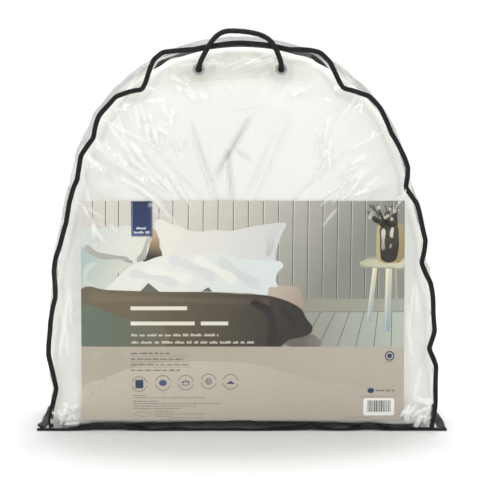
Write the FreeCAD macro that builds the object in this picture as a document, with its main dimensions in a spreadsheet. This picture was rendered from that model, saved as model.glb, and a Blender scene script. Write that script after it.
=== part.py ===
import FreeCAD, Part
import math
import os
import Sketcher

# A U-shaped support pillow packed in a clear zipped carry bag with a rope handle.
# Frame: +X to the bag's right seen from the front, front faces -Y, +Z up.
# The origin is the middle of the footprint, on the surface that the bag stands on.

vector = FreeCAD.Vector

dimensions = [
    # the arch outline: three radii on each side, all tangent
    ("arch_height", 512, "floor to the top of the arch binding"),
    ("crown_radius", 250, "top of the arch"),
    ("shoulder_radius", 206, "upper corners of the arch"),
    ("side_radius", 906, "long sides of the arch"),
    ("shoulder_centre", 17.6, "shoulder arc centre, out from the middle"),
    ("side_centre_height", 82.6, "height where the arch is widest"),
    # bag
    ("seam_depth", 95, "middle of the bag to each arch seam"),
    ("film", 0.4, "clear film"),
    ("seam_edge", 1.6, "film edge, in from the binding's outer edge"),
    ("tape_width", 6.5, "arch binding, across its face"),
    ("tape_thick", 3, "arch binding over the seam"),
    ("groove", 0.9, "slot in a binding that holds the seam"),
    ("bulge_rise", 10, "front and back panels, out from their seam"),
    ("bulge_inset", 7.5, "foot of the bulge, in from the outer edge"),
    ("bulge_crown_inset", 17, "top of the bulge, in from the outer edge"),
    ("front_bulge_top", 446, "flat strip for the handle starts here"),
    ("back_bulge_top", 470, "top of the back bulge"),
    ("back_bulge_base", 135, "back bulge starts above the zip"),
    ("bulge_slope", 16, "height over which a bulge's top or base slopes"),
    ("front_bulge_base", 4, "front bulge starts just above the floor"),
    ("front_base_slope", 5, "height over which its base slopes"),
    # foot of the bag
    ("foot_half_width", 270.5, "middle to the end of the foot tape"),
    ("foot_half_depth", 104, "middle to the outer edge of the foot tape"),
    ("foot_tape_width", 8.5, "front and back foot tapes"),
    ("ear_tape_width", 11, "side foot tapes, the ears"),
    ("foot_tape_thick", 3, "foot tapes"),
    ("foot_seam_height", 1.5, "underside of the seam flanges"),
    ("flange_stop", 20, "a seam flange ends this far before the foot tape does"),
    ("ear_lap", 0.7, "the ear's double film stops short of the inner edge of its tape's slot"),
    ("fit", 0.05, "slack between pieces that fit together"),
    # handle
    ("handle_middle", -2.55, "middle of the handle across the bag"),
    ("eyelet_half_gap", 53.75, "handle middle to each eyelet"),
    ("eyelet_height", 475.5, "eyelet centres above the floor"),
    ("eyelet_flange", 7.8, "flange radius"),
    ("eyelet_barrel", 4.7, "barrel outer radius"),
    ("eyelet_bore", 4.1, "bore radius"),
    ("eyelet_thick", 1.2, "flange thickness"),
    ("rim_round", 0.48, "rounding of the bore's front rim"),
    ("lip_radius", 5.4, "rolled lip behind the washer"),
    ("washer_thick", 0.8, "washer and lip thickness"),
    ("patch_thick", 0.5, "reinforcement strip"),
    ("patch_base", 458, "lower edge of the strip"),
    ("patch_half_width", 93, "half of the strip's length"),
    ("patch_edge_gap", 0.8, "binding to the strip's top edge"),
    ("rope_radius", 3.5, "braided rope"),
    ("rope_stand_off", 8, "seam plane to the handle's turning axis"),
    ("rope_gap", 0.4, "gap at the turning point of each rope end"),
    ("knot_radius", 7, "stopper knot"),
    ("knot_length", 8, "stopper knot"),
    ("knot_round", 3.2, "rounding of the stopper knot"),
    ("knot_gap", 0.2, "eyelet lip to stopper knot"),
    # zip across the back panel
    ("zip_height", 95, "middle of the zip above the floor"),
    ("zip_half_length", 240, "half of the coil"),
    ("zip_tape_half", 250, "half of the tape"),
    ("zip_tape_width", 15, "one tape"),
    ("zip_tape_thick", 0.5, "one tape"),
    ("zip_gap", 0.75, "middle of the zip to each tape edge"),
    ("zip_opening", 7, "middle of the zip to each film edge"),
    ("coil_size", 2, "coil width and height"),
    ("stop_length", 3, "end stop along the zip"),
    ("stop_gap", 0.2, "coil to end stop, and the stop's height above the coil"),
    ("lap", 0.1, "parts of one body run this far into each other"),
    ("slider_rest", 232, "slider centre when the zip is closed"),
    ("slider_length", 11, "slider along the zip"),
    ("slider_wall", 1.2, "slider plates and side walls"),
    ("slip", 0.3, "running gap around the slider"),
    ("bail_half_length", 2, "bail that holds the pull, along the zip"),
    ("bail_half_width", 1.2, "bail that holds the pull, across the zip"),
    ("bail_eye", 1, "radius of the bail's eye"),
    ("pull_axis_rise", 1.7, "slider face to the pull's bar"),
    ("pull_length", 30, "pull tab from its bar"),
    ("pull_half_width", 3.2, "pull tab"),
    ("pull_half_thick", 0.6, "pull tab, and its bar's radius"),
    ("pull_arm_length", 8, "arms from the bar to the tab"),
    ("pull_arm_width", 1.5, "each arm"),
    ("pull_hole_in", 4, "hole in the tab, from its tip"),
    ("pull_hole", 1.6, "radius of the hole in the tab"),
    # card and sticker
    ("card_width", 420, "A3"),
    ("card_height", 297, "A3"),
    ("card_thick", 0.4, "A3"),
    ("card_base", 10, "lower edge of the card above the floor"),
    ("card_gap", 0.4, "film to card"),
    ("sticker_width", 42, "bar-code sticker"),
    ("sticker_height", 24, "bar-code sticker"),
    ("sticker_thick", 0.12, "bar-code sticker"),
    ("sticker_middle", 180.5, "sticker centre across"),
    ("sticker_base", 20.2, "sticker lower edge"),
    # pillow
    ("pillow_inset", 12, "bag outline to pillow outline"),
    ("pillow_drop", 12, "pillow crown below the bag's"),
    ("pillow_base", 3, "underside of the pillow"),
    ("pillow_half_depth", 92, "middle to the pillow's flat face"),
    ("pillow_round", 45, "rounding of the pillow's edges"),
    ("pillow_crown_rise", 11.5, "swelling of each face"),
    ("pillow_crown_base_inset", 52, "foot of the swelling, in from the pillow's edge"),
    ("pillow_crown_inset", 88, "top of the swelling, in from the pillow's edge"),
    ("arm_gap", 6, "slit between the two arms"),
    ("crotch_height", 280, "top of the slit"),
    ("crotch_radius", 13, "open end of the slit"),
    ("casing_thick", 1.2, "casing cloth and its loft"),
    ("fill_gap", 0.3, "casing to filling"),
    ("care_left", -180, "care label's left edge"),
    ("care_width", 30, "care label"),
    ("care_base", 104, "care label's lower edge"),
    ("care_height", 30, "care label"),
    ("care_gap", 0.05, "casing to care label"),
    ("care_thick", 0.4, "care label"),
]

doc = FreeCAD.newDocument("SupportPillow")
sheet = doc.addObject("Spreadsheet::Sheet", "Sizes")


class Size:
    """A number together with the spreadsheet expression that gives it."""

    def __init__(self, value, text):
        self.value = value
        self.text = text

    def __add__(self, other):
        other = asSize(other)
        return Size(self.value + other.value, f"({self.text} + {other.text})")

    def __sub__(self, other):
        other = asSize(other)
        return Size(self.value - other.value, f"({self.text} - {other.text})")

    def __mul__(self, factor):
        return Size(self.value * factor, f"({self.text} * {factor})")

    def __neg__(self):
        return Size(-self.value, f"(-1 * {self.text})")


def asSize(number):
    return number if isinstance(number, Size) else Size(float(number), f"({float(number)})")


class Sizes:
    """Every driving dimension, by its alias."""


s = Sizes()
for row, (alias, number, note) in enumerate(dimensions, start=1):
    sheet.set(f"A{row}", alias)
    sheet.set(f"B{row}", str(number))
    sheet.setAlias(f"B{row}", alias)
    sheet.set(f"C{row}", note)
    setattr(s, alias, Size(float(number), f"Sizes.{alias}"))
doc.recompute()


# ---------- sketch and feature helpers ----------

def newBody(name):
    body = doc.addObject("PartDesign::Body", name)
    body.Label = name
    return body


def newSketch(body, name, plane, offset):
    """A sketch on one of the body's own origin planes, moved along the plane's normal."""
    sketch = body.newObject("Sketcher::SketchObject", name)
    for feature in body.Origin.OriginFeatures:
        if feature.Role == plane:
            sketch.AttachmentSupport = [(feature, "")]
    sketch.MapMode = "FlatFace"
    offset = asSize(offset)
    sketch.AttachmentOffset = FreeCAD.Placement(vector(0, 0, offset.value), FreeCAD.Rotation())
    sketch.setExpression(".AttachmentOffset.Base.z", offset.text)
    return sketch


def measure(sketch, name, kind, place, size):
    """Add a driving constraint bound to the sheet. A negative distance swaps its two points."""
    size = asSize(size)
    if kind.startswith("Distance") and size.value < 0:
        place = place[2:] + place[:2]
        size = -size
    index = sketch.addConstraint(Sketcher.Constraint(kind, *place, size.value))
    sketch.renameConstraint(index, name)
    sketch.setExpression(f"Constraints.{name}", size.text)


def archSketch(body, name, depth, inset=0, drop=0, base=0, top=None):
    """The bag's arch outline, inset evenly, in the plane y = -depth.

    With top given, the arch is cut off level at that height, below its crown.
    """
    inset = asSize(inset)
    drop = asSize(drop)
    base = asSize(base)
    sketch = newSketch(body, name, "XZ_Plane", depth)
    crownHeight = s.arch_height - s.crown_radius - drop
    sideHeight = s.side_centre_height - drop
    crownRadius = s.crown_radius - inset
    shoulderRadius = s.shoulder_radius - inset
    sideRadius = s.side_radius - inset

    crownReach = s.crown_radius.value - s.shoulder_radius.value
    sideReach = s.side_radius.value - s.shoulder_radius.value
    shoulderX = s.shoulder_centre.value
    crownTurn = math.asin(shoulderX / crownReach)
    shoulderZ = crownHeight.value + crownReach * math.cos(crownTurn)
    shoulderTurn = math.acos((shoulderZ - sideHeight.value) / sideReach)
    sideX = shoulderX - sideReach * math.sin(shoulderTurn)
    baseTurn = math.asin((base.value - sideHeight.value) / sideRadius.value)

    upright = math.pi / 2
    shoulderEnd = upright - crownTurn
    if top is not None:
        top = asSize(top)
        shoulderEnd = math.asin((top.value - shoulderZ) / shoulderRadius.value)

    def arc(x, z, radius, start, end):
        circle = Part.Circle(vector(x, z, 0), vector(0, 0, 1), radius.value)
        return sketch.addGeometry(Part.ArcOfCircle(circle, start, end), False)

    def line(start, end):
        return sketch.addGeometry(Part.LineSegment(start, end), False)

    rightShoulder = arc(shoulderX, shoulderZ, shoulderRadius, upright - shoulderTurn, shoulderEnd)
    rightSide = arc(sideX, sideHeight.value, sideRadius, baseTurn, upright - shoulderTurn)
    leftSide = arc(-sideX, sideHeight.value, sideRadius,
                   upright + shoulderTurn, math.pi - baseTurn)
    leftShoulder = arc(-shoulderX, shoulderZ, shoulderRadius,
                       math.pi - shoulderEnd, upright + shoulderTurn)
    baseX = sideX + sideRadius.value * math.cos(baseTurn)
    baseLine = line(vector(baseX, base.value, 0), vector(-baseX, base.value, 0))

    def join(kind, *ends):
        sketch.addConstraint(Sketcher.Constraint(kind, *ends))

    start, end, centre = 1, 2, 3
    origin, upAxis = -1, -2
    join("Tangent", rightShoulder, start, rightSide, end)
    join("Tangent", leftShoulder, end, leftSide, start)
    join("Coincident", rightSide, start, baseLine, start)
    join("Coincident", leftSide, end, baseLine, end)
    join("Equal", rightShoulder, leftShoulder)
    join("Equal", rightSide, leftSide)
    join("Horizontal", rightShoulder, centre, leftShoulder, centre)
    join("Horizontal", rightSide, centre, leftSide, centre)
    join("Horizontal", baseLine)
    measure(sketch, "shoulderRadius", "Radius", (rightShoulder,), shoulderRadius)
    measure(sketch, "sideRadius", "Radius", (rightSide,), sideRadius)
    measure(sketch, "shoulderOut", "DistanceX", (origin, start, rightShoulder, centre),
            s.shoulder_centre)
    measure(sketch, "sideHeight", "DistanceY", (origin, start, rightSide, centre), sideHeight)
    measure(sketch, "baseHeight", "DistanceY", (origin, start, baseLine, start), base)
    if top is None:
        crown = arc(0, crownHeight.value, crownRadius, upright - crownTurn, upright + crownTurn)
        join("Tangent", crown, start, rightShoulder, end)
        join("Tangent", crown, end, leftShoulder, start)
        join("PointOnObject", crown, centre, upAxis)
        measure(sketch, "crownRadius", "Radius", (crown,), crownRadius)
        measure(sketch, "crownHeight", "DistanceY", (origin, start, crown, centre), crownHeight)
    else:
        topX = shoulderX + shoulderRadius.value * math.cos(shoulderEnd)
        topLine = line(vector(topX, top.value, 0), vector(-topX, top.value, 0))
        join("Coincident", rightShoulder, end, topLine, start)
        join("Coincident", leftShoulder, start, topLine, end)
        join("Horizontal", topLine)
        measure(sketch, "topHeight", "DistanceY", (origin, start, topLine, start), top)
        # the crown is cut away, so the shoulder centres are placed directly
        reach = s.crown_radius - s.shoulder_radius
        rise = Size(shoulderZ, f"({crownHeight.text} + sqrt({reach.text}^2"
                               f" - {s.shoulder_centre.text}^2))")
        measure(sketch, "shoulderHeight", "DistanceY",
                (origin, start, rightShoulder, centre), rise)
        measure(sketch, "shoulderIn", "DistanceX", (leftShoulder, centre, origin, start),
                s.shoulder_centre)
    return sketch


def boxSketch(body, name, plane, offset, left, right, low, high):
    """A rectangle on one of the body's origin planes."""
    sides = [asSize(side) for side in (left, right, low, high)]
    left, right, low, high = sides
    sketch = newSketch(body, name, plane, offset)
    corners = [
        vector(left.value, low.value, 0),
        vector(right.value, low.value, 0),
        vector(right.value, high.value, 0),
        vector(left.value, high.value, 0),
    ]
    for index, corner in enumerate(corners):
        sketch.addGeometry(Part.LineSegment(corner, corners[(index + 1) % 4]), False)
    for index in range(4):
        sketch.addConstraint(Sketcher.Constraint("Coincident", index, 2, (index + 1) % 4, 1))
    for index in (0, 2):
        sketch.addConstraint(Sketcher.Constraint("Horizontal", index))
    for index in (1, 3):
        sketch.addConstraint(Sketcher.Constraint("Vertical", index))
    measure(sketch, "left", "DistanceX", (-1, 1, 0, 1), left)
    measure(sketch, "right", "DistanceX", (-1, 1, 0, 2), right)
    measure(sketch, "low", "DistanceY", (-1, 1, 0, 1), low)
    measure(sketch, "high", "DistanceY", (-1, 1, 2, 1), high)
    return sketch


def circleSketch(body, name, plane, offset, circles):
    """Circles given as (across, up, radius) on one of the body's origin planes."""
    sketch = newSketch(body, name, plane, offset)
    for index, circle in enumerate(circles):
        across, up, radius = (asSize(size) for size in circle)
        shape = Part.Circle(vector(across.value, up.value, 0), vector(0, 0, 1), radius.value)
        sketch.addGeometry(shape, False)
        measure(sketch, f"radius{index}", "Radius", (index,), radius)
        measure(sketch, f"across{index}", "DistanceX", (-1, 1, index, 3), across)
        measure(sketch, f"up{index}", "DistanceY", (-1, 1, index, 3), up)
    return sketch


def pad(body, sketch, length):
    """Add the sketch's outline, from its plane along the plane's normal."""
    length = asSize(length)
    feature = body.newObject("PartDesign::Pad", f"{sketch.Name}Pad")
    feature.Profile = sketch
    feature.Length = length.value
    feature.setExpression("Length", length.text)
    return feature


def pocket(body, sketch, length):
    """Cut the sketch's outline, from its plane against the plane's normal."""
    length = asSize(length)
    feature = body.newObject("PartDesign::Pocket", f"{sketch.Name}Cut")
    feature.Profile = sketch
    feature.Length = length.value
    feature.setExpression("Length", length.text)
    return feature


def loft(body, kind, first, last):
    """Add or cut the straight-sided form between two outlines."""
    feature = body.newObject(f"PartDesign::{kind}Loft", f"{first.Name}Loft")
    feature.Profile = first
    feature.Sections = [last]
    feature.Ruled = True
    return feature


def block(body, name, x, y, z):
    """Add a box between the low and high of each pair."""
    sketch = boxSketch(body, name, "XY_Plane", z[0], x[0], x[1], y[0], y[1])
    return pad(body, sketch, asSize(z[1]) - z[0])


def through(body, sketch, margin):
    """Cut all the way: the sketch lies the margin in front of a seam's tape."""
    return pocket(body, sketch, s.tape_thick + margin * 2)


# The XZ plane's normal is -Y, so an offset along it is a distance to the front.
front = s.seam_depth
back = -s.seam_depth
below = -20
clear = 1


# ---------- film and bindings ----------

def archBinding(name, depth):
    """Tape folded over an arch seam: a C section with a slot for the film edges."""
    body = newBody(name)
    pad(body, archSketch(body, f"{name}_outer", depth - s.tape_thick * 0.5,
                         base=s.foot_tape_thick), s.tape_thick)
    through(body, archSketch(body, f"{name}_inner", depth + s.tape_thick * 0.5 + clear,
                             inset=s.tape_width, base=below), clear)
    pocket(body, archSketch(body, f"{name}_groove", depth + s.groove * 0.5,
                            inset=s.seam_edge - s.fit, base=below), s.groove)
    return body


def bulge(body, name, depth, outward, low, high, lowSlope):
    """A thin raised field on a flat film panel. outward is 1 at the front, -1 at the back."""
    rise = s.bulge_rise * outward
    for kind, start in (("Additive", depth + s.film * outward), ("Subtractive", depth)):
        foot = archSketch(body, f"{name}_{kind}_foot", start, inset=s.bulge_inset,
                          base=low, top=high)
        crown = archSketch(body, f"{name}_{kind}_crown", start + rise,
                           inset=s.bulge_crown_inset, base=low + lowSlope,
                           top=high - s.bulge_slope)
        loft(body, kind, foot, crown)


def eyeletCircles(radius):
    left = s.handle_middle - s.eyelet_half_gap
    right = s.handle_middle + s.eyelet_half_gap
    return [(left, s.eyelet_height, radius), (right, s.eyelet_height, radius)]


def frontPanel():
    body = newBody("front_panel")
    pad(body, archSketch(body, "front_sheet", front, inset=s.seam_edge,
                         base=s.foot_seam_height), s.film)
    bulge(body, "front", front, 1, s.front_bulge_base, s.front_bulge_top, s.front_base_slope)
    pocket(body, circleSketch(body, "front_holes", "XZ_Plane", front + clear,
                              eyeletCircles(s.eyelet_barrel + s.fit)), 2 * clear)
    footFlange(body, "front_foot", -s.foot_half_depth + s.seam_edge, -front)
    return body


def footFlange(body, name, low, high):
    """The edge of an arch panel turned out into the foot tape."""
    reach = s.foot_half_width - s.flange_stop
    block(body, name, (-reach, reach), (low, high),
          (s.foot_seam_height, s.foot_seam_height + s.film))


def backPanels():
    upper = newBody("back_panel_upper")
    pad(upper, archSketch(upper, "upper_sheet", back - s.film, inset=s.seam_edge,
                          base=s.zip_height + s.zip_opening), s.film)
    bulge(upper, "back", back, -1, s.back_bulge_base, s.back_bulge_top, s.bulge_slope)
    lower = newBody("back_panel_lower")
    pad(lower, archSketch(lower, "lower_sheet", back - s.film, inset=s.seam_edge,
                          base=s.foot_seam_height), s.film)
    cut = boxSketch(lower, "lower_trim", "XZ_Plane", back + clear, -s.foot_half_width,
                    s.foot_half_width, s.zip_height - s.zip_opening, s.arch_height + clear)
    pocket(lower, cut, 3 * clear)
    footFlange(lower, "lower_foot", -back, s.foot_half_depth - s.seam_edge)
    return [upper, lower]


def gusset():
    """A channel section over the arch, from foot to foot."""
    body = newBody("gusset")
    flange = {"inset": s.seam_edge, "base": s.foot_seam_height}
    web = {"inset": s.tape_width, "base": s.foot_seam_height}
    pad(body, archSketch(body, "gusset_front", front - s.film, **flange), s.film)
    pad(body, archSketch(body, "gusset_web", back + s.film, **web), (s.seam_depth - s.film) * 2)
    pad(body, archSketch(body, "gusset_back", back, **flange), s.film)
    hollow = archSketch(body, "gusset_hollow", front + clear, inset=s.tape_width + s.film,
                        base=below)
    pocket(body, hollow, (s.seam_depth + clear) * 2)
    return body


def footPieces():
    """The base panel and the four tapes that bind its edges."""
    edge = s.foot_seam_height
    panel = newBody("base_panel")
    acrossReach = s.foot_half_width - edge
    depthReach = s.foot_half_depth - edge - s.fit
    block(panel, "base_sheet", (-acrossReach, acrossReach), (-depthReach, depthReach),
          (edge - s.film, edge))
    # the ears are double film: the gusset's feet, turned out and welded to the base
    innerEar = s.foot_half_width - s.ear_tape_width * 2 + s.ear_lap
    earReach = s.seam_depth - s.film
    for name, ear in (("ear_right", (innerEar, acrossReach)),
                      ("ear_left", (-acrossReach, -innerEar))):
        block(panel, name, ear, (-earReach, earReach), (edge, edge + s.film))

    tapeHeight = (0, s.foot_tape_thick)
    slotHeight = (edge - s.groove * 0.5, edge + s.groove * 0.5)
    pieces = [panel]
    innerEdge = s.foot_half_depth - s.foot_tape_width
    slotEdge = s.foot_half_depth - edge
    slotReach = acrossReach + s.fit
    for name, side in (("base_binding_front", -1), ("base_binding_back", 1)):
        body = newBody(name)
        outer = sorted((s.foot_half_depth * side, innerEdge * side), key=lambda size: size.value)
        slot = sorted((slotEdge * side, (innerEdge - clear) * side), key=lambda size: size.value)
        block(body, f"{name}_tape", (-s.foot_half_width, s.foot_half_width), outer, tapeHeight)
        slotCut(body, f"{name}_slot", (-slotReach, slotReach), slot, slotHeight)
        pieces.append(body)
    reach = s.seam_depth + s.film
    inner = s.foot_half_width - s.ear_tape_width
    for name, side in (("base_binding_left", -1), ("base_binding_right", 1)):
        body = newBody(name)
        outer = sorted((s.foot_half_width * side, inner * side), key=lambda size: size.value)
        slot = sorted((slotReach * side, (inner - clear) * side), key=lambda size: size.value)
        block(body, f"{name}_tape", outer, (-reach, reach), tapeHeight)
        slotCut(body, f"{name}_slot", slot, (-reach - clear, reach + clear), slotHeight)
        pieces.append(body)
    return pieces


def slotCut(body, name, x, y, z):
    """Cut a box between the low and high of each pair."""
    sketch = boxSketch(body, name, "XY_Plane", z[1], x[0], x[1], y[0], y[1])
    return pocket(body, sketch, asSize(z[1]) - z[0])


# ---------- handle ----------

def handlePatch():
    """Clear strip behind the eyelets, with its top edge under the binding."""
    body = newBody("handle_patch")
    sketch = newSketch(body, "patch_outline", "XZ_Plane", front - s.patch_thick)
    left = s.handle_middle - s.patch_half_width
    right = s.handle_middle + s.patch_half_width
    radius = s.crown_radius - s.tape_width - s.patch_edge_gap
    centre = s.arch_height - s.crown_radius
    endTurn = math.acos(left.value / radius.value)
    startTurn = math.acos(right.value / radius.value)
    circle = Part.Circle(vector(0, centre.value, 0), vector(0, 0, 1), radius.value)
    low = s.patch_base.value
    topRight = centre.value + radius.value * math.sin(startTurn)
    topLeft = centre.value + radius.value * math.sin(endTurn)
    sketch.addGeometry(Part.ArcOfCircle(circle, startTurn, endTurn), False)
    corners = [(left.value, topLeft), (left.value, low), (right.value, low),
               (right.value, topRight)]
    for (x1, z1), (x2, z2) in zip(corners, corners[1:]):
        sketch.addGeometry(Part.LineSegment(vector(x1, z1, 0), vector(x2, z2, 0)), False)
    for first, second in (((0, 2), (1, 1)), ((1, 2), (2, 1)), ((2, 2), (3, 1)), ((3, 2), (0, 1))):
        sketch.addConstraint(Sketcher.Constraint("Coincident", *first, *second))
    sketch.addConstraint(Sketcher.Constraint("PointOnObject", 0, 3, -2))
    sketch.addConstraint(Sketcher.Constraint("Vertical", 1))
    sketch.addConstraint(Sketcher.Constraint("Horizontal", 2))
    sketch.addConstraint(Sketcher.Constraint("Vertical", 3))
    measure(sketch, "radius", "Radius", (0,), radius)
    measure(sketch, "centre", "DistanceY", (-1, 1, 0, 3), centre)
    measure(sketch, "left", "DistanceX", (-1, 1, 1, 1), left)
    measure(sketch, "right", "DistanceX", (-1, 1, 3, 1), right)
    measure(sketch, "low", "DistanceY", (-1, 1, 2, 1), s.patch_base)
    pad(body, sketch, s.patch_thick)
    pocket(body, circleSketch(body, "patch_holes", "XZ_Plane", front + clear,
                              eyeletCircles(s.eyelet_barrel + s.fit)), 3 * clear)
    return body


def eyelet(side, circleAt):
    """A flanged barrel with a rolled lip, and the washer that the lip holds."""
    lipBack = front - s.patch_thick - s.washer_thick * 2
    body = newBody(f"eyelet_{side}")
    name = f"eyelet_{side}"
    pad(body, circleSketch(body, f"{name}_barrel", "XZ_Plane", lipBack,
                           [circleAt(s.eyelet_barrel)]),
        s.washer_thick * 2 + s.patch_thick + s.film)
    pad(body, circleSketch(body, f"{name}_lip", "XZ_Plane", lipBack,
                           [circleAt(s.lip_radius)]), s.washer_thick)
    pad(body, circleSketch(body, f"{name}_flange", "XZ_Plane", front + s.film,
                           [circleAt(s.eyelet_flange)]), s.eyelet_thick)
    bore = pocket(body, circleSketch(body, f"{name}_bore", "XZ_Plane",
                                     front + s.film + s.eyelet_thick + clear,
                                     [circleAt(s.eyelet_bore)]), 10 * clear)
    doc.recompute()
    face = -(front + s.film + s.eyelet_thick).value
    rims = [f"Edge{index}" for index, edge in enumerate(bore.Shape.Edges, start=1)
            if abs(edge.BoundBox.YMin - face) < 0.01 and abs(edge.BoundBox.YMax - face) < 0.01]
    soften(body, f"{name}_rims", bore, rims, s.rim_round)

    washer = newBody(f"eyelet_washer_{side}")
    pad(washer, circleSketch(washer, f"washer_{side}_ring", "XZ_Plane",
                             front - s.patch_thick - s.washer_thick,
                             [circleAt(s.eyelet_flange - s.film),
                              circleAt(s.eyelet_barrel + s.fit)]), s.washer_thick)
    return [body, washer]


def soften(body, name, feature, edges, radius):
    """Round the named edges of a feature."""
    fillet = body.newObject("PartDesign::Fillet", name)
    fillet.Base = (feature, edges)
    fillet.Radius = radius.value
    fillet.setExpression("Radius", radius.text)
    return fillet


def place(feature, x, y, z, rotation):
    """Placement from sizes, bound to the sheet."""
    feature.Placement = FreeCAD.Placement(vector(x.value, y.value, z.value), rotation)
    for axis, size in (("x", x), ("y", y), ("z", z)):
        feature.setExpression(f".Placement.Base.{axis}", size.text)


def ropeEnd(side, across):
    """The rope from its knot out through the eyelet to the handle's turning axis."""
    toFront = FreeCAD.Rotation(vector(1, 0, 0), 90)
    start = front - s.patch_thick - s.washer_thick * 2 - s.knot_gap
    reach = front + s.rope_stand_off
    stem = doc.addObject("Part::Cylinder", f"rope_stem_{side}")
    bind(stem, "Radius", s.rope_radius)
    bind(stem, "Height", reach - start)
    place(stem, across, -start, s.eyelet_height, toFront)
    ball = doc.addObject("Part::Sphere", f"rope_ball_{side}")
    bind(ball, "Radius", s.rope_radius)
    place(ball, across, -reach, s.eyelet_height, FreeCAD.Rotation())
    end = doc.addObject("Part::Fuse", f"rope_end_{side}")
    end.Base = stem
    end.Tool = ball
    end.Label = f"rope_end_{side}"

    bulk = doc.addObject("Part::Cylinder", f"knot_bulk_{side}")
    bind(bulk, "Radius", s.knot_radius)
    bind(bulk, "Height", s.knot_length)
    place(bulk, across, -(start - s.knot_length), s.eyelet_height, toFront)
    doc.recompute()
    knot = doc.addObject("Part::Fillet", f"rope_knot_{side}")
    knot.Base = bulk
    rounding = s.knot_round.value
    knot.Edges = [(index, rounding, rounding)
                  for index, edge in enumerate(bulk.Shape.Edges, start=1)
                  if isinstance(edge.Curve, Part.Circle)]
    knot.Label = f"rope_knot_{side}"
    return [end, knot]


def bind(feature, name, size):
    setattr(feature, name, size.value)
    feature.setExpression(name, size.text)


# The handle's route in the plane of its turning axis: across and up, end to end.
handleRoute = [
    (-52.5, 488.5), (-45.0, 502.5), (-36.0, 516.5), (-24.0, 524.8), (-7.5, 525.2),
    (10.5, 523.4), (27.0, 519.3), (38.5, 511.5), (45.5, 499.0), (50.0, 487.0),
]


def handleRope():
    """Straight runs joined by tangent arcs, swept with the rope's section."""
    depth = -(front + s.rope_stand_off).value
    low = s.eyelet_height.value + s.rope_radius.value + s.rope_gap.value
    half = s.eyelet_half_gap.value
    middle = s.handle_middle.value
    route = [(middle - half, low), *handleRoute, (middle + half, low)]
    points = [vector(x, depth, z) for x, z in route]
    edges = []
    radii = []
    here = points[0]
    for before, corner, after in zip(points, points[1:], points[2:]):
        arriving = (corner - before).normalize()
        leaving = (after - corner).normalize()
        turn = arriving.getAngle(leaving)
        shorter = min((corner - before).Length, (after - corner).Length)
        trim = 0.45 * shorter
        radius = trim / math.tan(turn / 2)
        radii.append(radius)
        arcStart = corner - arriving * trim
        arcEnd = corner + leaving * trim
        inward = (leaving - arriving).normalize()
        sagitta = radius / math.cos(turn / 2) - radius
        edges.append(Part.LineSegment(here, arcStart).toShape())
        edges.append(Part.Arc(arcStart, corner + inward * sagitta, arcEnd).toShape())
        here = arcEnd
    edges.append(Part.LineSegment(here, points[-1]).toShape())
    path = Part.Wire(edges)
    section = Part.Circle(points[0], points[1] - points[0], s.rope_radius.value)
    profile = Part.Wire([section.toShape()])
    tube = path.makePipeShell([profile], True, False)
    expected = math.pi * s.rope_radius.value ** 2 * path.Length
    print("handle rope: length", round(path.Length, 1), "volume against section x length",
          round(tube.Volume / expected, 4), "radii", [round(radius) for radius in radii])
    rope = doc.addObject("Part::Feature", "handle_rope")
    rope.Shape = tube
    rope.Label = "handle_rope"
    return rope


# ---------- zip ----------

def zipPieces():
    """Two tapes, two coils and the end stops, level across the back."""
    pieces = []
    face = s.seam_depth
    reach = s.zip_tape_half
    for name, side in (("upper", 1), ("lower", -1)):
        def span(near, far):
            ends = (s.zip_height + near * side, s.zip_height + far * side)
            return sorted(ends, key=lambda size: size.value)

        tape = newBody(f"zip_tape_{name}")
        block(tape, f"tape_{name}_strip", (-reach, reach), (face - s.zip_tape_thick, face),
              span(s.zip_gap, s.zip_tape_width))
        coil = newBody(f"zip_coil_{name}")
        block(coil, f"coil_{name}_bar", (-s.zip_half_length, s.zip_half_length),
              (face, face + s.coil_size), span(s.zip_gap, s.zip_gap + s.coil_size))
        pieces += [tape, coil]
    rise = s.zip_gap + s.coil_size + s.lap
    for name, side in (("zip_stop_closed", 1), ("zip_stop_open", -1)):
        near = (s.zip_half_length + s.stop_gap) * side
        far = (s.zip_half_length + s.stop_gap + s.stop_length) * side
        stop = newBody(name)
        block(stop, f"{name}_clamp", sorted((near, far), key=lambda size: size.value),
              (face, face + s.coil_size + s.stop_gap), (s.zip_height - rise, s.zip_height + rise))
        pieces.append(stop)
    return pieces


def zipSlider():
    """Two plates joined by a post between the coils, with a bail for the pull."""
    body = newBody("zip_slider")
    half = s.slider_length * 0.5
    x = (s.slider_rest - half, s.slider_rest + half)
    inside = s.zip_gap + s.coil_size + s.slip
    z = (s.zip_height - inside - s.slider_wall, s.zip_height + inside + s.slider_wall)
    tapeBack = s.seam_depth - s.zip_tape_thick
    innerFace = tapeBack - s.slip
    outerFace = s.seam_depth + s.coil_size + s.slip
    top = outerFace + s.slider_wall
    block(body, "slider_outer", x, (outerFace, top), z)
    post = s.zip_gap - s.slip - s.fit
    postX = (s.slider_rest, s.slider_rest + s.slider_wall * 2)
    block(body, "slider_post", postX, (innerFace - s.slider_wall * 0.5, outerFace + s.lap),
          (s.zip_height - post, s.zip_height + post))
    block(body, "slider_inner", x, (innerFace - s.slider_wall, innerFace), z)
    wallY = (s.seam_depth + s.slip, outerFace + s.lap)
    block(body, "slider_wall_low", x, wallY, (z[0], z[0] + s.slider_wall))
    block(body, "slider_wall_high", x, wallY, (z[1] - s.slider_wall, z[1]))
    bailX = (s.slider_rest - s.bail_half_length, s.slider_rest + s.bail_half_length)
    block(body, "slider_bail", bailX, (top - s.lap, top + s.pull_axis_rise * 2),
          (s.zip_height - s.bail_half_width, s.zip_height + s.bail_half_width))
    hole = circleSketch(body, "slider_eye", "XY_Plane", s.zip_height + s.bail_half_width * 2,
                        [(s.slider_rest, top + s.pull_axis_rise, s.bail_eye)])
    pocket(body, hole, s.bail_half_width * 4)
    return body


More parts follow.
